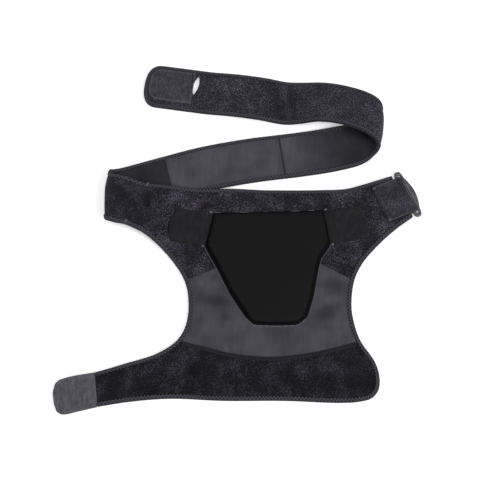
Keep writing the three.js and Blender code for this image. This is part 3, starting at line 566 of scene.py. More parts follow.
class Paint:
    """Builds one procedural material, with its pattern in millimetres."""

    def __init__(self, name, **settings):
        self.material = bpy.data.materials.new(name)
        self.material.use_nodes = True
        self.tree = self.material.node_tree
        self.shader = self.tree.nodes["Principled BSDF"]
        for key, value in settings.items():
            self.shader.inputs[key].default_value = value
        self.places = {}

    def add(self, kind, **settings):
        node = self.tree.nodes.new(kind)
        for key, value in settings.items():
            setattr(node, key, value)
        return node

    def link(self, a, b):
        self.tree.links.new(a, b)

    def place(self, stretch=(1, 1, 1), turned=0.0, source="Object"):
        """Coordinates in millimetres, stretched and turned about Z."""
        key = (tuple(stretch), turned, source)
        if key not in self.places:
            coordinates = self.add("ShaderNodeTexCoord")
            mapping = self.add("ShaderNodeMapping")
            mapping.inputs["Scale"].default_value = [1000 * s for s in stretch]
            mapping.inputs["Rotation"].default_value = (0, 0, math.radians(turned))
            self.link(coordinates.outputs[source], mapping.inputs["Vector"])
            self.places[key] = mapping.outputs["Vector"]
        return self.places[key]

    def grain(self, size, detail=2.0, rough=0.5, stretch=(1, 1, 1), turned=0.0):
        """Noise with features of about the given size in millimetres."""
        node = self.add("ShaderNodeTexNoise")
        node.inputs["Scale"].default_value = 1 / size
        node.inputs["Detail"].default_value = detail
        node.inputs["Roughness"].default_value = rough
        self.link(self.place(stretch, turned), node.inputs["Vector"])
        return node.outputs["Fac"]

    def cells(self, size):
        """Distance from the middles of cells of about the given size."""
        node = self.add("ShaderNodeTexVoronoi")
        node.inputs["Scale"].default_value = 1 / size
        self.link(self.place(), node.inputs["Vector"])
        return node.outputs["Distance"]

    def ribs(self, pitch, turned=0.0, source="Object", wobble=0.0):
        """Bands of the given pitch across X."""
        node = self.add("ShaderNodeTexWave", wave_type="BANDS", bands_direction="X")
        node.inputs["Scale"].default_value = BAND_SCALE / pitch
        node.inputs["Distortion"].default_value = wobble
        node.inputs["Detail"].default_value = 1.0
        node.inputs["Detail Scale"].default_value = 2.0
        self.link(self.place(turned=turned, source=source), node.inputs["Vector"])
        return node.outputs["Fac"]

    def along_and_across(self):
        """The cloth's own places: the distance along the piece and the distance across it."""
        node = self.add("ShaderNodeSeparateXYZ")
        self.link(self.place(source="UV"), node.inputs[0])
        return node.outputs[0], node.outputs[1]

    def ramp(self, value, low, high, out_low=0.0, out_high=1.0):
        node = self.add("ShaderNodeMapRange", interpolation_type="SMOOTHSTEP")
        node.inputs["From Min"].default_value = low
        node.inputs["From Max"].default_value = high
        node.inputs["To Min"].default_value = out_low
        node.inputs["To Max"].default_value = out_high
        self.link(value, node.inputs["Value"])
        return node.outputs["Result"]

    def band(self, value, low, high, soft=0.15):
        """One between two values of a distance, and nothing outside them."""
        return self.times(self.ramp(value, low - soft, low + soft),
                          self.ramp(value, high - soft, high + soft, 1.0, 0.0))

    def spot(self, x, y, wide, tall, turned):
        """A soft oval at a place of the plan: one in its middle and nothing outside it."""
        coordinates = self.add("ShaderNodeTexCoord")
        mapping = self.add("ShaderNodeMapping", vector_type="TEXTURE")
        mapping.inputs["Location"].default_value = (
            (x + SHIFT[0]) / 1000, (y + SHIFT[1]) / 1000, 0)
        mapping.inputs["Rotation"].default_value = (0, 0, math.radians(turned))
        mapping.inputs["Scale"].default_value = (wide / 1000, tall / 1000, 10)
        self.link(coordinates.outputs["Object"], mapping.inputs["Vector"])
        length = self.add("ShaderNodeVectorMath", operation="LENGTH")
        self.link(mapping.outputs["Vector"], length.inputs[0])
        return self.ramp(length.outputs["Value"], 0.1, 1.0, 1.0, 0.0)

    def sum(self, a, b, operation="ADD"):
        node = self.add("ShaderNodeMath", operation=operation)
        for value, socket in ((a, node.inputs[0]), (b, node.inputs[1])):
            if isinstance(value, (int, float)):
                socket.default_value = value
            else:
                self.link(value, socket)
        return node.outputs[0]

    def times(self, a, b):
        return self.sum(a, b, "MULTIPLY")

    def changed(self, factor, mask, strength):
        """A factor made stronger or weaker where a mask is one."""
        return self.times(factor, self.sum(self.times(mask, strength), 1.0))

    def mix(self, share, a, b):
        node = self.add("ShaderNodeMix", data_type="RGBA")
        self.link(share, node.inputs["Factor"])
        node.inputs[6].default_value = (*a, 1)
        node.inputs[7].default_value = (*b, 1)
        return node.outputs[2]

    def shaded(self, colour, factor, spots):
        """The colour times a factor and times soft ovals of painted light and painted shade on the
        plan.
        """
        for *oval, strength in spots:
            factor = self.changed(factor, self.spot(*oval), strength)
        return colour if isinstance(factor, float) else self.scaled(colour, factor)

    def scaled(self, colour, factor):
        node = self.add("ShaderNodeVectorMath", operation="SCALE")
        self.link(colour, node.inputs[0])
        self.link(factor, node.inputs["Scale"])
        return node.outputs[0]

    def colour(self, value):
        self.link(value, self.shader.inputs["Base Color"])

    def roughness(self, value):
        self.link(value, self.shader.inputs["Roughness"])

    def relief(self, *layers):
        """Bumps; each layer is a height and its depth in millimetres."""
        normal = None
        for height, depth in layers:
            node = self.add("ShaderNodeBump")
            node.inputs["Strength"].default_value = 1.0
            node.inputs["Distance"].default_value = depth / 1000
            self.link(height, node.inputs["Height"])
            if normal is not None:
                self.link(normal, node.inputs["Normal"])
            normal = node.outputs["Normal"]
        self.link(normal, self.shader.inputs["Normal"])


def srgb(r, g, b):
    return tuple(((c / 255 + 0.055) / 1.055) ** 2.4 if c > 10 else c / 255 / 12.92
                 for c in (r, g, b))


def loop_cloth(name, dark, light, tuft, spots=(), drift=1.0):
    """Brushed loops: bright tufts over a dark ground, in drifts."""
    p = Paint(name, **{"Roughness": 0.95, "Specular IOR Level": 0.06, "Sheen Weight": 0.12,
                       "Sheen Roughness": 0.55, "Sheen Tint": (0.85, 0.84, 0.95, 1)})
    fine = p.grain(tuft * 0.8, 2.0, 0.75)
    tufts = p.cells(tuft)
    broad = p.grain(24, 2.0, 0.6)
    pile = p.sum(p.ramp(fine, 0.46, 0.66), p.times(p.ramp(tufts, 0.5, 0.1), 0.35))
    drifts = p.ramp(broad, 0.3, 0.7, -0.11 - 0.31 * drift, -0.11 + 0.31 * drift)
    share = p.ramp(p.sum(pile, drifts), 0.0, 1.35)
    base = p.mix(share, dark, light)
    tint = p.mix(p.ramp(p.grain(9, 2.0, 0.5), 0.35, 0.7), (1.0, 1.0, 1.0), (1.05, 0.96, 1.09))
    tinted = p.add("ShaderNodeVectorMath", operation="MULTIPLY")
    p.link(base, tinted.inputs[0])
    p.link(tint, tinted.inputs[1])
    p.colour(p.shaded(tinted.outputs[0], 1.0, spots))
    p.roughness(p.ramp(fine, 0.3, 0.7, 0.86, 1.0))
    p.relief((tufts, -0.45), (fine, 0.6))
    return p.material


WALE_PITCH = 1.15


def jersey(name, colour, shade, turned=0.0, spots=(), fold_shade=None):
    """Smooth knit over foam, with fine wales, rubbed drifts and soft painted shade and light at
    some places; on the strap, painted shade into the right fold and at its seams.
    """
    p = Paint(name, **{"Roughness": 0.8, "Specular IOR Level": 0.08, "Sheen Weight": 0.1,
                       "Sheen Roughness": 0.5, "Sheen Tint": (0.9, 0.88, 1.0, 1)})
    wales = p.ribs(WALE_PITCH, turned, wobble=0.7)
    courses = p.ribs(WALE_PITCH * 0.8, turned + 90, wobble=0.9)
    streaks = p.grain(5, 2.0, 0.5, stretch=(1, 0.16, 1), turned=turned)
    broad = p.grain(42, 2.0, 0.55)
    share = p.sum(p.ramp(broad, 0.3, 0.7, 0, 0.5), p.ramp(streaks, 0.3, 0.7, 0, 0.3))
    share = p.sum(share, p.times(wales, 0.22))
    base = p.mix(share, shade, colour)
    factor = p.ramp(broad, 0.3, 0.7, 0.94, 1.06)
    if fold_shade:
        # Painted shade: the lining darkens along the strap into the right fold.
        along, _ = p.along_and_across()
        factor = p.times(factor, p.ramp(along, *fold_shade))
        # At each lining seam a dark seam line, and beside it a wider soft painted shade where the
        # cloth dips into the seam.
        for seam in LINING_SEAMS:
            for before, after, soft, deep in ((1.1, 1.3, 0.5, -0.62), (7.0, 3.0, 4.0, -0.22)):
                line = p.band(along, seam - before, seam + after, soft)
                factor = p.changed(factor, line, deep)
    p.colour(p.shaded(base, factor, spots))
    p.roughness(p.ramp(streaks, 0.25, 0.75, 0.72, 0.88))
    p.relief((wales, 0.07), (courses, 0.05), (broad, 1.2))
    return p.material


def hook_cloth(name, dark, light, turned, pitch=1.7):
    """Hook fastener: rows of tiny hooks on a stiff woven ground."""
    p = Paint(name, **{"Roughness": 0.75, "Specular IOR Level": 0.1, "Sheen Weight": 0.06,
                       "Sheen Roughness": 0.4})
    rows = p.ribs(pitch, turned, wobble=0.35)
    hooks = p.ribs(pitch * 0.75, turned + 90, wobble=0.5)
    grain = p.grain(2.2, 3.0, 0.7)
    streaks = p.grain(3.2, 2.0, 0.6, stretch=(1, 0.35, 1), turned=turned)
    broad = p.grain(16, 2.0, 0.6)
    knobs = p.times(rows, hooks)
    share = p.sum(p.times(knobs, 0.25), p.ramp(grain, 0.32, 0.68, 0.0, 0.35))
    share = p.sum(share, p.ramp(streaks, 0.3, 0.7, -0.1, 0.35))
    share = p.sum(share, p.ramp(broad, 0.3, 0.7, -0.12, 0.16))
    p.colour(p.mix(share, dark, light))
    p.roughness(p.ramp(grain, 0.3, 0.7, 0.65, 0.85))
    p.relief((knobs, 0.28), (grain, 0.2))
    return p.material


def tape_cloth(name, dark, light):
    """Woven tape: slanting ribs along its length, with painted shade in darker bands at its folded
    edge, along the two sewn rows where it is drawn down, and at its inner edge.
    """
    p = Paint(name, **{"Roughness": 0.85, "Specular IOR Level": 0.08, "Sheen Weight": 0.1,
                       "Sheen Roughness": 0.5, "Sheen Tint": (0.85, 0.84, 0.95, 1)})
    ribs = p.ribs(1.0, 28, "UV", 0.4)
    grain = p.grain(0.9, 2.0, 0.6)
    drifts = p.grain(14, 2.0, 0.6)
    share = p.sum(p.sum(p.times(ribs, 0.4), p.times(grain, 0.4)), p.times(drifts, 0.4))
    _, across = p.along_and_across()
    inward = p.sum(across, 0.0, "ABSOLUTE")
    shade = 1.0
    # Painted shade in bands across the tape: its folded outer edge, the grooves of its two sewn
    # rows and its inner edge.
    for low, high, deep in ((-1, 1.3, 0.55), (2.0, 2.9, 0.35), (4.6, 5.4, 0.4), (5.7, 9.0, 0.6)):
        shade = p.changed(shade, p.band(inward, low, high), -deep)
    p.colour(p.scaled(p.mix(share, dark, light), shade))
    p.roughness(p.ramp(grain, 0.3, 0.7, 0.78, 0.92))
    p.relief((ribs, 0.12), (grain, 0.15))
    return p.material


def pad_cloth(name, dark, light):
    """Tight thin jersey over foam, nearly black with a dull gloss."""
    p = Paint(name, **{"Roughness": 0.66, "Specular IOR Level": 0.06})
    wales = p.ribs(0.9, 0, wobble=0.5)
    grain = p.grain(0.8, 2.0, 0.6)
    broad = p.grain(35, 2.0, 0.5)
    share = p.sum(p.times(grain, 0.4), p.times(broad, 0.5))
    p.colour(p.mix(share, dark, light))
    p.roughness(p.ramp(broad, 0.3, 0.7, 0.6, 0.74))
    p.relief((wales, 0.03), (grain, 0.06), (broad, 1.2))
    return p.material


def thread(name, colour, shade):
    p = Paint(name, **{"Roughness": 0.6, "Specular IOR Level": 0.12, "Sheen Weight": 0.06})
    grain = p.grain(0.5, 2.0, 0.5)
    p.colour(p.mix(grain, shade, colour))
    p.relief((grain, 0.1))
    return p.material


def ring_plastic():
    """Moulded grey plastic with a soft gloss, rubbed a little."""
    p = Paint("ring_plastic", **{"Roughness": 0.4, "Specular IOR Level": 0.5})
    grain = p.grain(0.7, 3.0, 0.6)
    broad = p.grain(9, 3.0, 0.6)
    p.colour(p.mix(p.ramp(broad, 0.3, 0.7), srgb(60, 59, 65), srgb(84, 83, 89)))
    p.roughness(p.ramp(broad, 0.25, 0.75, 0.24, 0.42))
    p.relief((grain, 0.04), (broad, 0.12))
    return p.material


# Soft ovals of painted shade and painted light on the cloth, for the shading of its soft dents,
# waves and valleys: x, y, half width, half height, turn and strength
UPPER_PAINTED_SHADING = (
    (-90, -27, 17, 8, 0, -0.5), (40, -18, 16, 10, 0, -0.35), (86, -28, 14, 8, 0, -0.5),
    (3, -14, 24, 9, 0, 0.22), (116, -16, 20, 12, 0, 0.25), (-174, -26, 12, 26, 14, -0.55),
    (-140, -14, 22, 12, 8, 0.3), (104, -116, 24, 20, -30, -0.35), (-118, -92, 24, 18, -20, -0.3),
    (-92, -108, 12, 10, 20, 0.35), (-98, -20, 9, 14, 0, -0.35), (150, -40, 14, 24, 20, 0.15),
)
LOWER_PAINTED_SHADING = (
    (-162, -300, 17, 16, 0, -0.5), (-106, -278, 17, 34, -8, -0.5), (-132, -264, 14, 10, 20, 0.35),
    (-45, -270, 18, 16, 0, 0.35), (-190, -290, 12, 14, 0, 0.3), (30, -285, 22, 18, 0, -0.35),
    (90, -268, 18, 14, 10, 0.25), (118, -300, 14, 12, 0, -0.3),
)
UPPER_RUN_PAINTED_SHADING = (
    (19, 134, 16, 70, 18, -0.55), (41, 130, 11, 70, 6, -0.55), (66, 132, 16, 50, 0, 0.12),
    (-60, 150, 16, 40, -8, 0.1),
)
LOOP = loop_cloth("loop_cloth", srgb(20, 19, 23), srgb(90, 88, 101), 1.8, spots=UPPER_PAINTED_SHADING)
LOWER_LOOP = loop_cloth("lower_loop", srgb(13, 13, 15), srgb(62, 61, 71), 1.8,
                        spots=LOWER_PAINTED_SHADING)
STRAP_LOOP = loop_cloth("strap_loop", srgb(28, 27, 33), srgb(98, 96, 109), 1.9,
                        spots=UPPER_RUN_PAINTED_SHADING, drift=0.55)
# A darker copy of the strap's loop cloth, as painted shade on its front band and round its left
# fold.
BAND_LOOP_SHADED = loop_cloth("band_loop_shaded", srgb(18, 18, 22), srgb(72, 70, 84), 1.7)
TAB_LOOP = loop_cloth("tab_cloth", srgb(36, 35, 42), srgb(84, 82, 93), 1.6)
# A near-black copy of the tab cloth: painted shadow in the narrow gap between the tab's fold and
# the ring's outer bar.
FOLD_SHADOW = loop_cloth("tab_fold_shadow", srgb(9, 9, 11), srgb(20, 19, 24), 1.6)
# Painted shade and painted light on the middle panel, for the shading of its dents and waves
# beside the pad: x, y, half width, half height, turn and strength
MIDDLE_PAINTED_SHADING = (
    (-78, -171, 36, 14, -8, -0.42), (-88, -146, 30, 14, 4, 0.2), (81, -188, 32, 16, 18, -0.42),
    (94, -148, 34, 17, -6, -0.4), (94, -170, 26, 10, 4, 0.22), (-72, -212, 34, 16, 0, 0.1),
    (99, -221, 8, 30, -4, 0.16), (0, -218, 60, 10, 0, -0.08), (-112, -200, 9, 36, 4, -0.12),
    (118, -205, 7, 34, -2, -0.14), (-60, -196, 14, 8, -30, -0.18),
)
SMOOTH = jersey("smooth_cloth", srgb(72, 70, 78), srgb(56, 54, 61), spots=MIDDLE_PAINTED_SHADING)
# Painted shade on the lining where it turns into the right fold: from and to places along the
# strap, and its factors
LINING_FOLD_SHADE = (STRAP_LENGTH * 0.38, STRAP_LENGTH * 0.505, 1.0, 0.34)
LINING = jersey("strap_lining", srgb(76, 75, 84), srgb(59, 58, 66), turned=8, fold_shade=LINING_FOLD_SHADE)
LINING_DARK = jersey("strap_lining_dark", srgb(45, 44, 50), srgb(33, 32, 38), turned=8)
TAPE_CLOTH = tape_cloth("binding_tape", srgb(37, 36, 43), srgb(70, 69, 78))
SEAM_CLOTH = tape_cloth("seam_tape", srgb(23, 22, 26), srgb(38, 37, 43))
PAD = pad_cloth("pad_cloth", srgb(15, 16, 15), srgb(25, 26, 25))
# A darker copy of the pad cloth: painted shade on the pad's rounded sides.
PAD_SIDE_SHADE = pad_cloth("pad_side_shade", srgb(7, 8, 8), srgb(14, 14, 14))
WING = hook_cloth("wing_cloth", srgb(25, 25, 27), srgb(40, 40, 42), 0, 1.2)
ARM_HOOK = hook_cloth("arm_hook", srgb(66, 65, 72), srgb(100, 99, 108), 7)
TIP_HOOK = hook_cloth("tip_hook", srgb(44, 43, 49), srgb(80, 79, 88), -8, 1.4)
THREAD = thread("thread", srgb(96, 95, 104), srgb(74, 73, 81))
# Dark marks between the light beads of a seam: painted shade of the needle holes.
HOLE_SHADE = thread("hole_shade", srgb(26, 25, 30), srgb(14, 14, 17))
THREAD_DIM = thread("thread_dim", srgb(56, 55, 63), srgb(42, 41, 48))
THREAD_LIGHT = thread("thread_grey", srgb(112, 111, 120), srgb(84, 83, 90))
THREAD_WHITE = thread("thread_pale", srgb(150, 149, 156), srgb(110, 110, 116))
RING = ring_plastic()


# Body panels
def seam_across(rows, first, last, count):
    """A seam's line across the body, with even steps, between places on two edges."""
    places = np.array([first, *[on_body(*row) for row in rows[1:-1]], last])
    fine = curve_points(places, 0, len(places) - 1, CURVE_STEPS * (len(places) - 1))
    return resample(fine, np.linspace(0, 1, count + 1))


neck_in = inside(EDGES["neck"], EDGE)
outer_in = inside(EDGES["outer"], EDGE)
waist_in = inside(EDGES["waist"], EDGE)
neck_starts = EDGES["neck"]["starts"]
outer_starts = EDGES["outer"]["starts"]
waist_starts = EDGES["waist"]["starts"]
arch_count = neck_starts[2] - neck_starts[1]
bowl_count = outer_starts[4] - outer_starts[3]
arch = seam_across(ARCH_SEAM, waist_in[waist_starts[1]], outer_in[outer_starts[1]], arch_count)
arch_index = np.arange(arch_count + 1)
arch_calm = np.clip(np.minimum(arch_index, arch_count - arch_index) / 6, 0, 1)
arch[:, 1] += 1.3 * arch_calm * bumps(arch[:, 0], 0 * arch[:, 0], 5, 77)
bowl = seam_across(BOWL_SEAM, waist_in[waist_starts[2]], outer_in[outer_starts[2]], bowl_count)
SEW = CLEAR / 2

# Places of a panel's rows from its sewn edge, over which its face sinks into the seam
SEAM_ROWS = [0.0, 0.5, 1.1, 2.0, 3.2]
SEAM_SINK = 0.75
PANEL_STEP = 3.0

# Soft hollows on the middle panel, beside the pad: x, y, half width, half height and turn
DENTS = ((-80, -170, 24, 8, -8), (80, -188, 20, 9, 16))
DENT_DEPTH = 1.3


def seam_shares(length, ends=(True, True)):
    """Shares across a panel: close together at a sewn edge and even between."""
    start = SEAM_ROWS if ends[0] else [0.0]
    stop = [length - c for c in SEAM_ROWS[::-1]] if ends[1] else [length]
    count = max(2, round((stop[0] - start[-1]) / PANEL_STEP))
    middle = np.linspace(start[-1], stop[0], count + 1)[1:-1]
    return np.array([*start, *middle, *stop]) / length


def sewn(plan, seams):
    """How far a panel's face sinks at its sewn edges: a share of the sink for bottom and top."""
    step = np.linalg.norm(np.diff(plan, axis=1), axis=2)
    from_bottom = np.concatenate([np.zeros((len(plan), 1)), np.cumsum(step, axis=1)], axis=1)
    from_top = from_bottom[:, -1:] - from_bottom
    sink = np.zeros(plan.shape[:2])
    for used, d in zip(seams, (from_bottom, from_top)):
        if used is not None:
            sink += used * SEAM_SINK * np.clip(1 - d / SEAM_ROWS[-1], 0, 1) ** 2
    return sink


def dents(x, y):
    hollow = np.zeros(np.shape(x))
    for cx, cy, wide, tall, angle in DENTS:
        a = math.radians(angle)
        u = (x - cx) * math.cos(a) + (y - cy) * math.sin(a)
        w = -(x - cx) * math.sin(a) + (y - cy) * math.cos(a)
        hollow += np.exp(-((u / wide) ** 2 + (w / tall) ** 2))
    return hollow


def panel(name, plan, material, seams):
    x, y = plan[..., 0], plan[..., 1]
    sink = sewn(plan, seams)
    ripple = 0.18 * bumps(x, y, 14, 3) + 0.12 * bumps(x, y, 6, 5)
    top = over_body(x, y, FACE - sink + ripple - DENT_DEPTH * dents(x, y))
    bottom = over_body(x, y, EDGE + 0.5 * sink)
    made = piece(name, *slab(bottom, top), [material])
    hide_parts(name)
    declare_sheet(plan)
    return made


def triangle_areas(p, q):
    return np.abs(p[..., 0] * q[..., 1] - p[..., 1] * q[..., 0]) / 2


def declare_sheet(plan):
    """Works out the area of the plan's cut in square metres; the value is not kept."""
    a = plan[1:, :-1] - plan[:-1, :-1]
    b = plan[:-1, 1:] - plan[:-1, :-1]
    c = plan[1:, 1:] - plan[:-1, 1:]
    d = plan[1:, 1:] - plan[1:, :-1]
    area = float((triangle_areas(a, b) + triangle_areas(c, d)).sum()) / 1e6


def upper_panel():
    along = -seam_run
    gap = np.array([along[1], -along[0]]) * SEW
    bottom = np.concatenate([
        waist_in[:waist_starts[1]],
        arch + [0, SEW],
        outer_in[:outer_starts[1]][::-1],
    ])
    bottom, top = (
        line + gap * np.clip(1 - lengths_of(line) / 8, 0, 1)[:, None] for line in (bottom, neck_in)
    )
    left, right = (np.linspace(bottom[end], top[end], 9) for end in (0, -1))
    plan = coons(bottom, top, left, right, seam_shares(110, (True, False)))
    index = np.arange(len(bottom))
    on_arch = (index >= waist_starts[1]) & (index <= waist_starts[1] + arch_count)
    return panel("upper_panel", plan, LOOP, (on_arch[:, None] * 1.0, None))


def middle_panel():
    waist = waist_in[waist_starts[1]:waist_starts[2] + 1][::-1].copy()
    outer = outer_in[outer_starts[1]:outer_starts[2] + 1][::-1].copy()
    top = arch - [0, SEW]
    bottom = resample(bowl, np.linspace(0, 1, arch_count + 1)) + [0, SEW]
    waist[0], waist[-1] = bottom[0], top[0]
    outer[0], outer[-1] = bottom[-1], top[-1]
    plan = coons(bottom, top, waist, outer, seam_shares(110))
    panel("middle_panel", plan, SMOOTH, (1.0, 1.0))


def lower_panel():
    hem = outer_in[outer_starts[3]:][::-1]
    upper_edge = waist_in[waist_starts[2]:][::-1]
    top = np.concatenate([upper_edge[:-1], bowl - [0, SEW]])
    right = outer_in[outer_starts[2]:outer_starts[3] + 1][::-1].copy()
    right[0], right[-1] = hem[-1], top[-1]
    left = np.linspace(hem[0], top[0], 9)
    plan = coons(hem, top, left, right, seam_shares(65, (False, True)))
    on_bowl = np.arange(len(top)) >= len(upper_edge) - 1
    panel("lower_panel", plan, LOWER_LOOP, (None, on_bowl[:, None] * 1.0))


upper = upper_panel()
middle_panel()
lower_panel()


# Bindings: a tape folded over the edge, with a zigzag seam
def binding_section():
    """Outer line from the lower inner end round the fold to the upper inner end, then back."""
    half = BOUND / 2
    fold_depth = 2.3
    hollow = 0.95
    fold = [
        (fold_depth - fold_depth * math.sin(a), half - half * math.cos(a))
        for a in np.linspace(0, math.pi, 13)
    ]
    top = [(x, BOUND - d) for x, d in
           ((2.9, -0.02), (3.5, 0.02), (4.2, -0.06), (4.9, 0.04), (5.5, 0.14), (6.0, 0.42))]
    low = [(x, BOUND - z) for x, z in top[::-1]]
    outer = np.array(low + fold + top)
    inner = np.array([(6.0, hollow), (1.6, hollow), (1.0, half), (1.6, BOUND - hollow),
                      (6.0, BOUND - hollow)])
    return np.concatenate([outer, inner[::-1]])


SECTION = binding_section()


UP = np.array([0, 0, 1.0])
STITCH_SIDES = 6
STITCH_FLAT = 0.6
# How far along it each ring of a stitch lies, its share of the thickness and how deep it dips
STITCH_RINGS = ((0.0, 0.35, 0.5), (0.14, 0.85, 0.12), (0.5, 1.0, 0.0), (0.86, 0.85, 0.12),
                (1.0, 0.35, 0.5))
# The bindings' seam: two rows, in from the edge, of beads of thread between dark marks of painted
# shade in the needle holes
SEAM_LINES = (5.1, 2.5)
SEAM_PITCH = 4.9
SEAM_THREAD = 0.62
SEAM_END = 2.0
BEAD_SHARE = 0.36
BEAD_GAP = 0.02
# How high the seam's thread lies on the upper and on the lower side of the body's bindings
UPPER_THREAD = BOUND + 0.03
LOWER_THREAD = 0.42


def binding_piece(name, path, inner, place):
    """A binding along a path; place turns plan places and a height into places."""
    share = SECTION[:, 0] / BINDING_WIDTH
    at = path[:, None] * (1 - share[None, :, None]) + inner[:, None] * share[None, :, None]
    heights = np.broadcast_to(SECTION[None, :, 1], at.shape[:2])
    stations = place(at[..., 0], at[..., 1], heights)
    inward = SECTION[:, 0] * np.where(SECTION[:, 1] > BOUND / 2, 1, -1)
    uv = pairs(lengths_of(path)[:, None], inward[None])
    made = piece(name, stations, sweep_faces(*stations.shape[:2]), [TAPE_CLOTH], uv=uv)
    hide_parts(name)


def stitch_points(start, end, up, radius):
    """Rings of a short stitch between two places that dips in at both ends."""
    axis = unit(end - start)
    side = unit(np.cross(axis, up))
    up = np.cross(side, axis)
    places = []
    for t, size, drop in STITCH_RINGS:
        centre = start + (end - start) * t - up * drop * radius
        for k in range(STITCH_SIDES):
            a = 2 * math.pi * k / STITCH_SIDES
            places.append(centre + side * math.cos(a) * radius * size
                          + up * math.sin(a) * radius * size * STITCH_FLAT)
    return places


def stitch_mesh(name, stitches, material):
    """One mesh of many stitches; each is a start, an end, an up and a radius."""
    one = sweep_faces(len(STITCH_RINGS), STITCH_SIDES)
    points, faces = [], []
    for stitch in stitches:
        offset = len(points)
        points.extend(stitch_points(*stitch))
        faces.extend([[i + offset for i in f] for f in one])
    piece(name, points, faces, [material])


def sewn_rows(length, place):
    """Both rows of a binding's seam; returns its beads and the dark marks of painted shade between
    them.
    """
    count = max(2, int((length - 2 * SEAM_END) / SEAM_PITCH))
    spots = np.linspace(SEAM_END, length - SEAM_END, count + 1)
    step = spots[1] - spots[0]
    beads, holes = [], []
    for k, x in enumerate(SEAM_LINES):
        for at in spots[:-1] + 0.5 * step * k:
            if at + step > length - 0.5:
                continue
            p, up = place(at, x)
            q, _ = place(at + step * BEAD_SHARE, x)
            beads.append((p, q, up, SEAM_THREAD))
            p, up = place(at + step * (BEAD_SHARE + BEAD_GAP), x)
            q, _ = place(at + step * (1 - BEAD_GAP), x)
            holes.append((p + up * 0.02, q + up * 0.02, up, SEAM_THREAD * 1.02))
    return beads, holes


def across_tape(path, inner):
    """Finds places of the plan at a distance along a tape and in from its edge."""
    run = lengths_of(path)

    def find(s, x):
        p, q = place_at(s, run, path), place_at(s, run, inner)
        return p + (q - p) * x / BINDING_WIDTH

    return find


def body_placer(path, inner, height, sign):
    """Finds places on a tape's face on the body, and the way out of that face."""
    find = across_tape(path, inner)

    def place(s, x):
        at = find(s, x)
        return on_body_face(*at, height), np.array([0, 0, sign])

    return place


def on_body_face(x, y, height):
    return np.array([x, y, float(lift(x, y)) + height])


def body_bindings():
    all_beads, all_holes = [], []
    for key, edge in EDGES.items():
        path, inner = edge["points"], inside(edge, BINDING_WIDTH)
        binding_piece(key + "_binding", path, inner, over_body)
        for height, sign in ((UPPER_THREAD, 1.0), (LOWER_THREAD, -1.0)):
            place = body_placer(path, inner, height, sign)
            beads, holes = sewn_rows(lengths_of(path)[-1], place)
            all_beads += beads
            all_holes += holes
    stitch_mesh("body_stitches", all_beads, THREAD)
    stitch_mesh("body_hole_shade", all_holes, HOLE_SHADE)


body_bindings()


# The tape over the bowl seam
def seam_tape():
    end = (BINDING_WIDTH + CLEAR) / lengths_of(bowl)[-1]
    line = resample(bowl, np.linspace(end, 1 - end, 160))
    offsets = np.array([0.0, 0.5, 1.3, 2.3, 3.2, 4.2, 5.0, 5.6])
    heights = np.array([0.15, 0.62, 0.86, 0.78, 0.9, 0.78, 0.62, 0.15])
    columns = np.stack([moved(line, -CLEAR - d) for d in offsets], axis=1)
    x, y = columns[..., 0], columns[..., 1]
    top = over_body(x, y, FACE + CLEAR + heights * TAPE)
    bottom = over_body(x, y, FACE + 0.1)
    along = lengths_of(line)
    uv = pairs(along[:, None], offsets[None, ::-1])
    made = piece("seam_tape", *slab(bottom[:, ::-1], top[:, ::-1]), [SEAM_CLOTH],
                 uv=np.concatenate([uv, uv]))
    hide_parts("seam_tape")
    place = body_placer(line, moved(line, -BINDING_WIDTH), FACE + CLEAR + 0.88 * TAPE, 1.0)
    rows = []
    for inward in (1.5, 4.6):
        for s in np.arange(1.0, along[-1] - 3, 3.4):
            p, up = place(s, inward)
            q, _ = place(s + 2.3, inward)
            rows.append((p, q, up, 0.34))
    stitch_mesh("seam_tape_stitches", rows, THREAD_DIM)


seam_tape()


# The chest strap
PATCH_START = STRAP_LENGTH - PATCH_LENGTH - BINDING_WIDTH - PATCH_TIP_GAP
SLOT_CENTRE = PATCH_START - SLOT_FROM_PATCH - SLOT_WIDTH / 2
HALF = STRAP_WIDTH / 2 - EDGE
STRAP_START = 0.15


def slot_edges(u):
    """Where the slot's two edges lie along the strap, at places across it."""
    share = np.clip((u - SLOT_FROM_MIDDLE) / SLOT_LENGTH + 0.5, 0, 1)
    width = SLOT_WIDTH / 2 * np.sin(math.pi * share) ** 0.8
    width = np.where((share <= 0) | (share >= 1), 0, width)
    middle = SLOT_CENTRE - (u - SLOT_FROM_MIDDLE) * math.tan(math.radians(SLOT_SLOPE))
    return middle, width


def half_width(s):
    """Half the cloth's width near the rounded tip."""
    past = np.clip((s - (STRAP_LENGTH - TIP_ROUNDING)) / (TIP_ROUNDING - EDGE), 0, 0.9995)
    return HALF * (1 - past ** (2 / TIP_SQUARENESS)) ** (TIP_SQUARENESS / 2)


def on_tip(angle, margin, half):
    """Places on the tip's rounding, at angles from the strap's edge to its end."""
    return (
        STRAP_LENGTH - TIP_ROUNDING + (TIP_ROUNDING - margin) * np.sin(angle) ** TIP_SQUARENESS,
        half * np.maximum(np.cos(angle), 0) ** TIP_SQUARENESS,
    )


def across_places():
    """Places across the strap, closer round the slot's ends and at the edges."""
    slot = SLOT_FROM_MIDDLE + SLOT_LENGTH * (np.linspace(0, 1, 21) - 0.5)
    low = np.linspace(-HALF, slot[0], 11)[:-1]
    high = np.linspace(slot[-1], HALF, 7)[1:]
    return np.concatenate([low, slot, high])


def strap_relief(s, u):
    """Soft waves in the strap's cloth, calm at its edges."""
    calm = np.clip((HALF - np.abs(u)) / 8, 0, 1)
    return (0.35 * bumps(s, u, 26, 21) + 0.2 * bumps(s, u, 9, 23)) * calm


def seam_dip(s):
    """How far the strap's faces sink into the lining's seams, between none and one."""
    return sum(np.exp(-((s - place) / 1.2) ** 2) for place in LINING_SEAMS)


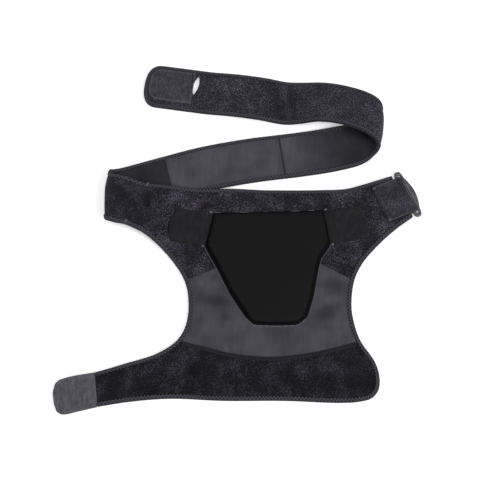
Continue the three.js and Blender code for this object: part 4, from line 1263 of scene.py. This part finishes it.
def chest_strap():
    across = across_places()
    middle, width = slot_edges(across)
    before = np.sort(np.concatenate([
        np.arange(STRAP_START, SLOT_CENTRE - 14, 3.0),
        [LINING_SEAMS[0] - 1],
        np.linspace(SLOT_CENTRE - 11, SLOT_CENTRE - 7, 3),
    ]))
    after = np.linspace(SLOT_CENTRE + 8, STRAP_LENGTH - TIP_ROUNDING, 26)
    tip, _ = on_tip(np.linspace(0, 1, 18)[1:] * math.pi / 2 * 0.97, EDGE, HALF)
    blend = np.linspace(0, 1, 6)[:, None]
    points, faces, slots, uv = [], [], [], []
    base = 0
    for alongs, side in ((before, -1), (np.concatenate([after, tip]), 1)):
        s = np.repeat(alongs[:, None], len(across), axis=1)
        edge = middle + side * width
        if side < 0:
            s = np.vstack([s, edge])
            s[-6:] = s[-6] * (1 - blend) + edge * blend
        else:
            s = np.vstack([edge, s])
            s[:6] = edge * (1 - blend) + s[5] * blend
        u = across[None] * half_width(s) / HALF
        columns, rows = s.shape
        count = columns * rows
        wave = strap_relief(s, u)
        dip = seam_dip(s)
        points.append(on_strap(s, u, NEOPRENE / 2 + wave - 0.6 * dip).reshape(-1, 3))
        points.append(on_strap(s, u, -NEOPRENE / 2 + wave + 0.35 * dip).reshape(-1, 3))
        uv += [np.stack([s, u], axis=-1).reshape(-1, 2)] * 2
        border = grid_border(columns, rows)
        after_border = np.roll(border, -1)
        join = columns - 1 if side < 0 else 0
        shut = [a // rows == d // rows == join and width[a % rows] <= 0 and width[d % rows] <= 0
                for a, d in zip(border, after_border)]
        wall = np.stack([border, border + count, after_border + count, after_border], axis=1)
        wall = wall[~np.array(shut)] + base
        faces += [grid_faces(columns, rows, base),
                  grid_faces(columns, rows, base + count, flip=True), wall]
        starts = s[:-1, :-1].ravel()
        slots += np.where(starts < LINING_SEAMS[0] - 1.05, 2, 0).tolist()
        # Loop faces up to just past the left fold take the darker copy of the loop cloth: painted
        # shade.
        slots += np.where(starts < FOLD_PLACE + 20, 3, 1).tolist()
        slots += [1] * len(wall)
        base += 2 * count
    made = piece("chest_strap", np.concatenate(points), np.concatenate(faces),
                 [LINING, STRAP_LOOP, LINING_DARK, BAND_LOOP_SHADED], slots=slots, uv=np.concatenate(uv))
    merge(made)
    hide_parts("chest_strap")
    return made


strap = chest_strap()


def strap_placer(path, inner, side):
    """Finds places on the tape at one face of the strap, and the way out of that face."""
    find = across_tape(path, inner)

    def place(s, x):
        at = find(s, x)
        spot = on_strap(*at, side * (BOUND / 2 + 0.02))
        above = on_strap(*at, side * (BOUND / 2 + 1.02))
        return spot, unit(above - spot)

    return place


def strap_binding():
    half = STRAP_WIDTH / 2
    straight = np.arange(STRAP_START, STRAP_LENGTH - TIP_ROUNDING, 3.0)
    lower_line = np.stack([straight, np.full(len(straight), -half)], axis=1)
    along, across = on_tip(np.linspace(0, math.pi / 2, 25)[1:], 0, half)
    lower_half = np.concatenate([lower_line, np.stack([along, -across], axis=1)])
    path = np.concatenate([lower_half, (lower_half[:-1] * [1, -1])[::-1]])
    inner = moved(path, BINDING_WIDTH)
    binding_piece("strap_binding", path, inner, lambda s, u, h: on_strap(s, u, h - BOUND / 2))
    all_beads, all_holes = [], []
    for side in (1, -1):
        beads, holes = sewn_rows(lengths_of(path)[-1], strap_placer(path, inner, side))
        all_beads += beads
        all_holes += holes
    stitch_mesh("strap_stitches", all_beads, THREAD)
    stitch_mesh("strap_hole_shade", all_holes, HOLE_SHADE)


strap_binding()


def seam_tacks():
    """Bars of thread that lock both ends of the front band's seam, over the body's tape."""
    rows = []
    side = np.array([seam_run[1], -seam_run[0]])
    for corner, inward in ((SEAM_TOP, seam_run), (SEAM_BOTTOM, -seam_run)):
        for k in range(5):
            at = corner + inward * (0.8 + 1.3 * k) + side * 1.9
            z = float(lift(*at)) + BOUND + 0.35
            a, b = at - side * 1.7, at + side * 1.7
            rows.append((np.array([*a, z]), np.array([*b, z]), UP, 0.55))
    stitch_mesh("seam_tacks", rows, THREAD_LIGHT)


seam_tacks()


def stitch_spots(line, start, stop, pitch, length):
    """Both ends, in the plan, of each stitch of a row along a line."""
    run = lengths_of(line)
    return [(place_at(at, run, line), place_at(at + length, run, line))
            for at in np.arange(start, run[-1] - stop, pitch)]


# The hook patch on the strap's tip
def hook_patch():
    half = STRAP_WIDTH / 2 - PATCH_MARGIN
    round_start = STRAP_LENGTH - TIP_ROUNDING
    end = STRAP_LENGTH - BINDING_WIDTH - PATCH_TIP_GAP
    straight = np.linspace(PATCH_START, round_start, 20)
    curved, narrowing = on_tip(np.linspace(0, 1, 19)[1:] * math.pi / 2 * 0.94,
                               BINDING_WIDTH + PATCH_TIP_GAP, half)
    s = np.concatenate([straight, curved])
    wide = np.concatenate([np.full(len(straight), half), narrowing])
    close = np.array([0.82, 0.9, 0.95, 0.985, 1])
    across = np.concatenate([-close[::-1], np.linspace(-0.7, 0.7, 13), close])
    u = PATCH_SHIFT + wide[:, None] * across[None]
    s = np.repeat(s[:, None], len(across), axis=1)
    from_side = wide[:, None] * (1 - np.abs(across))[None]
    border = np.minimum(from_side, np.minimum(s - PATCH_START, end - s))
    slant = np.clip((round_start - s) / (round_start - PATCH_START), 0, 1)
    s = s + u * math.tan(math.radians(PATCH_SLOPE)) * slant
    rounded = 1 - np.clip(1 - border / 1.6, 0, 1) ** 2 * 0.8
    groove = 0.3 * np.exp(-((border - 2.6) / 0.5) ** 2)
    crown = 0.15 * bumps(s, u, 16, 31)
    base = NEOPRENE / 2 + 0.15
    top = on_strap(s, u, -(base + (PATCH_THICKNESS + 0.2) * rounded - groove + crown))
    bottom = on_strap(s, u, -base)
    made = piece("strap_hook_patch", *slab(bottom, top), [TIP_HOOK])
    merge(made)
    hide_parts("strap_hook_patch")
    sides = [np.stack([s[:, 0], u[:, row]], axis=1) for row in (0, -1)]
    outline = np.concatenate([sides[0], sides[1][::-1], sides[0][:1]])
    rows = []
    for margin, radius in ((0.9, 0.5), (2.6, 0.42)):
        for a, b in stitch_spots(moved(outline, margin), 0, 2.4, 3.0, 2.2):
            ends = [on_strap(*at, -(base + PATCH_THICKNESS + 0.02)) for at in (a, b)]
            up = unit(on_strap(*b, -10.0) - on_strap(*b, 0.0))
            rows.append((*ends, up, radius))
    stitch_mesh("patch_stitches", rows, THREAD_LIGHT)


hook_patch()


# The arm band's hook tab
def rounded_outline(corners, rounds):
    """Corners cut off again and again, for a smooth closed outline."""
    line = np.asarray(corners, float)
    for _ in range(rounds):
        after = np.roll(line, -1, axis=0)
        cuts = [line * (1 - share) + after * share for share in (0.25, 0.75)]
        line = np.stack(cuts, axis=1).reshape(-1, 2)
    return line


def even_outline(line, step):
    closed = np.vstack([line, line[:1]])
    total = lengths_of(closed)[-1]
    return resample(closed, np.linspace(0, 1, max(8, round(total / step)) + 1))[:-1]


def inset(line, distance):
    """A closed outline moved inwards, for outlines that run counter-clockwise."""
    run = unit(np.roll(line, -1, axis=0) - np.roll(line, 1, axis=0))
    return line + np.stack([-run[:, 1], run[:, 0]], axis=1) * distance


def signed_area(line):
    after = np.roll(line, -1, axis=0)
    return float((line[:, 0] * after[:, 1] - line[:, 1] * after[:, 0]).sum()) / 2


def soft_outline(corners, first_step, rounds, step):
    """A smooth closed outline with even steps that runs counter-clockwise."""
    outline = even_outline(rounded_outline(even_outline(corners, first_step), rounds), step)
    return outline[::-1] if signed_area(outline) < 0 else outline


def distance_to(outline, x, y):
    """Distance of places from a closed outline."""
    after = np.roll(outline, -1, axis=0)
    run = after - outline
    from_start = np.stack([x, y], axis=-1)[..., None, :] - outline
    share = np.clip((from_start * run).sum(-1) / (run * run).sum(-1), 0, 1)
    return np.linalg.norm(from_start - run * share[..., None], axis=-1).min(-1)


# Shares of an outline that a crowned form's rings follow, on its underside and on its top
LOW_SHARES = np.array([0.05, 0.3, 0.6, 0.85, 0.985])
TOP_SHARES = np.concatenate([[1.0], np.linspace(0.999, 0.86, 26), np.linspace(0.84, 0.04, 34)])


def crowned(outline, shift, profile, base, place):
    """Closed form over an outline; profile gives its height at distances from the outline.

    Besides points and faces it returns, for the faces between two rings, their distance from the
    outline and their places.
    """
    centre = outline.mean(axis=0) + shift
    rings = centre + (outline - centre) * TOP_SHARES[:, None, None]
    x, y = rings[..., 0], rings[..., 1]
    gap = distance_to(outline, x, y)
    gap[0] = 0
    at, height = np.array(profile, float).T
    top = place(x, y, base + np.interp(gap, at, height))
    low_rings = centre + (outline - centre) * LOW_SHARES[:, None, None]
    low = place(low_rings[..., 0], low_rings[..., 1], np.full(low_rings.shape[:2], float(base)))
    stations = np.concatenate([low, top])
    count = len(outline)
    middle_x, middle_y = centre[:1], centre[1:]
    points = np.concatenate([
        place(middle_x, middle_y, np.array([float(base)])),
        stations.reshape(-1, 3),
        place(middle_x, middle_y, np.array([base + height[-1]])),
    ])
    faces = grid_faces(len(stations), count, 1, wrap_rows=True, flip=True).tolist()
    last = 1 + (len(stations) - 1) * count
    for k in range(count):
        j = (k + 1) % count
        faces.append([0, 1 + j, 1 + k])
        faces.append([last + k, last + j, len(points) - 1])
    face_gap = np.concatenate([np.full(low.shape[:2], 99.0), gap])[:-1]
    return points, faces, face_gap, stations[:-1]


ARM_TAB_PROFILE = ((0, 1.3), (0.01, 4.4), (0.3, 5.3), (0.9, 5.75), (1.8, 5.86), (2.7, 5.6),
                   (3.4, 5.84), (5.0, 5.9), (60, 5.9))


def arm_tab():
    down = ARM_SEAM_BOTTOM - ARM_SEAM_TOP
    out = unit(np.array([down[1], -down[0]]))
    corners = np.array([
        ARM_SEAM_TOP + down * across + out * (CLEAR + along * ARM_TAB_LENGTH)
        for along, across in ARM_TAB_OUTLINE
    ])
    outline = soft_outline(corners, 2.0, 2, 1.6)
    points, faces, _, _ = crowned(
        outline, [0, 0], ARM_TAB_PROFILE, 0.0,
        lambda x, y, z: np.stack([x, y, z + 0.12 * bumps(x, y, 18, 41) * (z > 4)], axis=-1))
    made = piece("arm_hook_tab", points, faces, [ARM_HOOK])
    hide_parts("arm_hook_tab")
    abs(signed_area(outline)) / 1e6
    seam = inset(outline, 2.7)
    rows = [(np.array([*a, 5.72]), np.array([*b, 5.72]), UP, 0.34)
            for a, b in stitch_spots(np.vstack([seam, seam[:1]]), 0, 2.6, 3.2, 2.3)]
    down_run = unit(down)
    for k in range(int((np.linalg.norm(down) - 5) / 2.6)):
        a = ARM_SEAM_TOP + down_run * (2.5 + 2.6 * k) + out * (CLEAR + 1.7)
        b = a + down_run * 1.7
        rows.append((np.array([*a, 5.85]), np.array([*b, 5.85]), UP, 0.5))
    stitch_mesh("arm_tab_stitches", rows, THREAD_LIGHT)


arm_tab()


# The pad and its wings
PAD_BASE = FACE + 2 * CLEAR
pad_corners = np.array([
    [PAD_PLACE[0] + x * PAD_WIDTH, PAD_PLACE[1] + y * PAD_DEPTH] for x, y in PAD_OUTLINE
])
PAD_TOP_LEFT, PAD_TOP_RIGHT = pad_corners[0], pad_corners[2]
PAD_RIGHT, PAD_FOOT, PAD_LEFT = pad_corners[4], pad_corners[9], pad_corners[15]
# The pad's height over its base at distances in from its outline
PAD_PROFILE = ((0, 0.3), (0.5, 0.75), (1.5, 0.95), (2.0, 1.1), (2.5, 2.7), (3.1, 4.7), (4.0, 6.3),
               (5.4, 7.4), (7.4, 8.05), (10, 8.4), (20, 8.75), (45, 9.05), (90, 9.1))


def pad_piece():
    outline = soft_outline(pad_corners, 3.0, 4, 2.0)
    points, faces, gap, stations = crowned(
        outline, [0, 4], PAD_PROFILE, PAD_BASE,
        lambda x, y, z: over_body(x, y, z + 0.3 * bumps(x, y, 38, 51) * (z > PAD_BASE + 7.9)))
    # Faces near the outline take the darker copy as painted shade on the pad's sides, in a wider
    # band along its slanting lower sides.
    slanting = (stations[..., 1] < PAD_RIGHT[1] + 2) & (stations[..., 1] > PAD_FOOT[1] + 12)
    slots = (gap < np.where(slanting, 6.0, 3.2)).ravel().astype(int).tolist()
    slots += [0] * (len(faces) - len(slots))
    made = piece("pad", points, faces, [PAD, PAD_SIDE_SHADE], slots=slots)
    merge(made)
    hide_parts("pad")
    return outline


def pad_stitches(outline):
    """Light stitches round the pad's lower sides, a few light dashes at its top edge as painted
    highlight, and its corners' tacks.
    """
    light, pale = [], []
    outward = moved(np.vstack([outline, outline[:1]]), -1.0)
    for k, (a, b) in enumerate(stitch_spots(outward, 0, 3.0, 3.0, 2.6)):
        if a[1] > PAD_TOP_LEFT[1] - 3:
            continue
        rows = pale if a[1] < PAD_FOOT[1] + 5 and k % 3 == 0 else light
        rows.append((on_body_face(*a, FACE + 0.25), on_body_face(*b, FACE + 0.25), UP, 0.42))
    # Light thread dashes along the pad's top edge: painted highlight of the glints on that edge.
    for low, high in ((0.02, 0.07), (0.24, 0.32), (0.45, 0.5), (0.7, 0.78), (0.86, 0.92)):
        a, b = (PAD_TOP_LEFT + (PAD_TOP_RIGHT - PAD_TOP_LEFT) * t + [0, 0.9] for t in (low, high))
        light.append((on_body_face(*a, FACE + 0.9), on_body_face(*b, FACE + 0.9), UP, 0.55))
    for corner, away in ((PAD_TOP_LEFT, -3), (PAD_LEFT, -3), (PAD_TOP_RIGHT, 3), (PAD_RIGHT, 3)):
        for k in range(4):
            x, y = corner + [away, 1] + [(k - 1.5) * 0.9, 0]
            a = on_body_face(x - 0.5, y - 1.3, PAD_BASE + 2.0)
            b = on_body_face(x + 0.5, y + 1.3, PAD_BASE + 2.0)
            light.append((a, b, UP, 0.45))
    stitch_mesh("pad_stitches", light, THREAD_LIGHT)
    stitch_mesh("pad_pale_stitches", pale, THREAD_WHITE)


pad_stitches(pad_piece())


def pad_wing(side, name):
    high, low = (PAD_TOP_LEFT, PAD_LEFT) if side < 0 else (PAD_TOP_RIGHT, PAD_RIGHT)
    away = side * 2 * CLEAR
    top = high + [away + side, -2]
    bottom = low + [away + side, 1]
    reach = side * PAD_WING_REACH
    outer_top = np.array([top[0] + reach * 0.93, high[1] + PAD_WING_DEPTH * 0.13])
    outer_bottom = np.array([top[0] + reach * 1.12, outer_top[1] - PAD_WING_DEPTH * 0.86])
    outer_middle = np.array([top[0] + reach * 1.16, outer_top[1] - PAD_WING_DEPTH * 0.42])
    rows = 23
    inner = resample([bottom, top], np.linspace(0, 1, rows)) - [side * 2.2, 0]
    outer_line = [outer_bottom, outer_middle, outer_top * 0.6 + outer_middle * 0.4, outer_top]
    outer = resample(curve_points(outer_line, 0, 3, 60), np.linspace(0, 1, rows))
    share = np.linspace(0, 1, 30)[:, None, None]
    plan = inner[None] * (1 - share) + outer[None] * share
    from_side = np.minimum(np.arange(rows), rows - 1 - np.arange(rows))[None] * 2.6
    border = np.minimum(from_side, (1 - share[..., 0]) * PAD_WING_REACH)
    rounded = 1 - np.clip(1 - border / 2.0, 0, 1) ** 2 * 0.7
    x, y = plan[..., 0], plan[..., 1]
    wave = 0.2 * bumps(x, y, 17, 61)
    upper_side = over_body(x, y, PAD_BASE - 0.3 + (PAD_WING_THICKNESS + 0.3) * rounded + wave)
    lower_side = over_body(x, y, PAD_BASE - 0.35)
    if side < 0:
        upper_side, lower_side = upper_side[::-1], lower_side[::-1]
        plan = plan[::-1]
    made = piece(name, *slab(lower_side, upper_side), [WING])
    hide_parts(name)
    declare_sheet(plan)


pad_wing(-1, "left_pad_wing")
pad_wing(1, "right_pad_wing")


# The ring and the tab that holds it
SLOT_OUTER = RING_THICKNESS / 2 + PIVOT_CLEAR + TAB_THICKNESS + RING_FOLD_GAP
RING_HALF = TAB_WIDTH / 2 + RING_SIDE_PLAY + RING_END_BAR
RING_REACH = SLOT_OUTER + RING_OUTER_BAR + RING_BULGE


def seated(local):
    """Places in the ring's seat turned into the brace's plan."""
    local = np.asarray(local, float)
    plan = PIVOT + local[..., :1] * outwards + local[..., 1:2] * along_bar
    return np.concatenate([plan, local[..., 2:] + PIVOT_HEIGHT], axis=-1)


def ring_droop():
    """How far the ring leans down from its pivot until its outer bar meets the surface."""
    half = RING_THICKNESS / 2
    reach = RING_REACH - half * 0.6
    droop = 0.0
    while PIVOT_HEIGHT - half * math.cos(droop) - reach * math.sin(droop) > 0.1:
        droop += 0.001
    return droop


def squared(value, power):
    """A sine or cosine made fuller, for outlines between an oval and a rectangle."""
    return np.sign(value) * np.abs(value) ** power


RING_STEPS = 220
RING_SIDES = 20


def ring_piece():
    bar = RING_THICKNESS / 2
    middle = (bar + SLOT_OUTER) / 2
    slot_half = RING_HALF - RING_END_BAR
    angle = 2 * math.pi * (np.arange(RING_STEPS) + 0.5) / RING_STEPS
    c, s = np.cos(angle), np.sin(angle)
    inner = np.stack([middle + (SLOT_OUTER - middle) * squared(c, 0.12),
                      slot_half * squared(s, 0.5)], axis=1)
    y = RING_HALF * squared(s, 0.6)
    bow = np.cos(math.pi / 2 * np.minimum(1, np.abs(y) / (RING_HALF * 0.68)))
    bulge = np.where(c > 0, 1.35 * RING_BULGE * bow - 0.35 * RING_BULGE, 0)
    reach = np.where(c > 0, SLOT_OUTER + RING_OUTER_BAR - middle, middle + bar)
    outer = np.stack([middle + reach * squared(c, 0.42) + bulge, y], axis=1)
    a = 2 * math.pi * np.arange(RING_SIDES) / RING_SIDES
    across = 0.5 - 0.5 * squared(np.cos(a), 0.62)
    height = RING_THICKNESS / 2 * squared(np.sin(a), 0.62)
    flat = inner[:, None] * (1 - across)[None, :, None] + outer[:, None] * across[None, :, None]
    heights = np.broadcast_to(height[None, :, None], (RING_STEPS, RING_SIDES, 1))
    local = np.concatenate([flat, heights], axis=-1)
    droop = ring_droop()
    x = local[..., 0] * math.cos(droop) + local[..., 2] * math.sin(droop)
    z = -local[..., 0] * math.sin(droop) + local[..., 2] * math.cos(droop)
    stations = seated(np.stack([x, local[..., 1], z], axis=-1))
    faces = sweep_faces(RING_STEPS, RING_SIDES, closed_path=True)
    made = piece("strap_ring", stations, faces, [RING], body="ring")
    merge(made)
    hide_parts("strap_ring")


ring_piece()
TAB_LAYER = NEOPRENE / 2 + CLEAR
TAB_TOP = TAB_LAYER + TAB_THICKNESS


def ring_tab():
    inner = RING_THICKNESS / 2 + PIVOT_CLEAR
    outer = inner + TAB_THICKNESS
    bend = np.radians(np.linspace(-90, 90, 25))
    start = np.linspace(-TAB_LENGTH, -inner * 2, 16)

    def side(radius, level):
        low = [(x, -level) for x in start]
        arc = [(radius * math.cos(a), radius * math.sin(a)) for a in bend]
        return np.array(low + arc + [(x, level) for x in start[::-1]])

    outer_line = side(outer, TAB_TOP)
    outer_line[:, 0] = np.where(outer_line[:, 0] > 0, outer_line[:, 0] * 1.3, outer_line[:, 0])
    inner_line = side(inner, TAB_LAYER)
    shares = [0, 0.006, 0.02, 0.045, *np.linspace(0.08, 0.92, 22), 0.955, 0.98, 0.994, 1]
    across = TAB_WIDTH * (np.array(shares) - 0.5)
    border = TAB_WIDTH / 2 - np.abs(across)
    thin = 0.45 * np.clip(1 - border / 1.5, 0, 1) ** 2
    groove = 0.25 * np.exp(-((border - 3.4) / 0.7) ** 2)
    centre = (outer_line + inner_line) / 2
    normal = (outer_line - inner_line) / 2

    def face(line_share, shrink):
        flat = centre[None] + normal[None] * (line_share * (1 - shrink))[:, None, None]
        return np.stack([flat[..., 0], np.broadcast_to(across[:, None], flat.shape[:2]),
                         flat[..., 1]], axis=-1)

    out_face = seated(face(np.ones(len(across)), thin + groove))
    in_face = seated(face(-np.ones(len(across)), thin * 0.5))
    points, faces = slab(out_face, in_face)
    run = lengths_of(centre)
    uv = pairs(run[None], across[:, None])
    # Faces round the fold's nose take the near-black copy: painted shadow of the gap before the
    # ring's outer bar.
    near_fold = np.abs((run[:-1] + run[1:]) / 2 - run[-1] / 2) < 3.6
    quads = np.broadcast_to(near_fold[None], (len(across) - 1, len(run) - 1)).ravel()
    slots = np.concatenate([quads, quads, np.zeros(len(faces) - 2 * len(quads), bool)])
    made = piece("ring_tab", points, faces, [TAB_LOOP, FOLD_SHADOW], slots=slots.astype(int),
                 uv=np.concatenate([uv, uv]))
    merge(made)
    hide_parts("ring_tab")


def tab_stitches():
    """A satin edge along the tab's two long sides, its seam on the body and a tack at each end."""
    edge = TAB_WIDTH / 2 - 0.9
    rows, seam = [], []
    for side in (-1, 1):
        for x in np.arange(-TAB_LENGTH + 1, -2.5, 1.5):
            ends = seated([[x + step, side * edge, TAB_TOP + 0.1] for step in (0, 1.8)])
            rows.append((*ends, UP, 0.55))
        for k in range(5):
            x = -TAB_LENGTH + 0.6 + k * 0.9
            ends = seated([[x, side * (edge + out), TAB_TOP + 0.3] for out in (0.3, -3.2)])
            rows.append((*ends, UP, 0.5))
    for y in np.arange(-edge + 3, edge - 4, 3.4):
        ends = seated([[-TAB_LENGTH + 3.2, y + step, TAB_TOP] for step in (0, 2.2)])
        seam.append((*ends, UP, 0.4))
    stitch_mesh("tab_edge_stitches", rows, THREAD)
    stitch_mesh("tab_seam_stitches", seam, THREAD_DIM)


ring_tab()
tab_stitches()


# Floor and light
def floor():
    mesh = bpy.data.meshes.new("floor")
    corners = [(x * FLOOR_HALF, y * FLOOR_HALF, -FLOOR_DROP)
               for x, y in ((-1, -1), (1, -1), (1, 1), (-1, 1))]
    mesh.from_pydata(corners, [], [(0, 1, 2, 3)])
    p = Paint("floor", **{"Roughness": 0.9, "Specular IOR Level": 0.1})
    p.shader.inputs["Base Color"].default_value = (0.97, 0.97, 0.97, 1)
    p.shader.inputs["Emission Color"].default_value = (1, 1, 1, 1)
    p.shader.inputs["Emission Strength"].default_value = 0.3
    mesh.materials.append(p.material)
    made = bpy.data.objects.new("floor", mesh)
    bpy.context.scene.collection.objects.link(made)


def lamp(name, place, aim, size, power):
    data = bpy.data.lights.new(name, "AREA")
    data.shape = "RECTANGLE"
    data.size, data.size_y = size
    data.energy = power
    made = bpy.data.objects.new(name, data)
    made.location = place
    made.rotation_euler = (Vector(aim) - Vector(place)).to_track_quat("-Z", "Y").to_euler()
    bpy.context.scene.collection.objects.link(made)


floor()
lamp("key", (2.1, -1.4, 2.2), (0, 0, 0), (1.5, 1.3), 72)
lamp("fill", (-2.2, -0.8, 2.0), (0, 0, 0), (1.4, 1.4), 20)
lamp("top", (0, 0.3, 3.0), (0, 0, 0), (2.0, 2.0), 29)
world = bpy.data.worlds.new("world")
world.use_nodes = True
world.node_tree.nodes["Background"].inputs["Color"].default_value = (1, 1, 1, 1)
world.node_tree.nodes["Background"].inputs["Strength"].default_value = 0.26
bpy.context.scene.world = world
bpy.context.scene.view_settings.view_transform = "Standard"
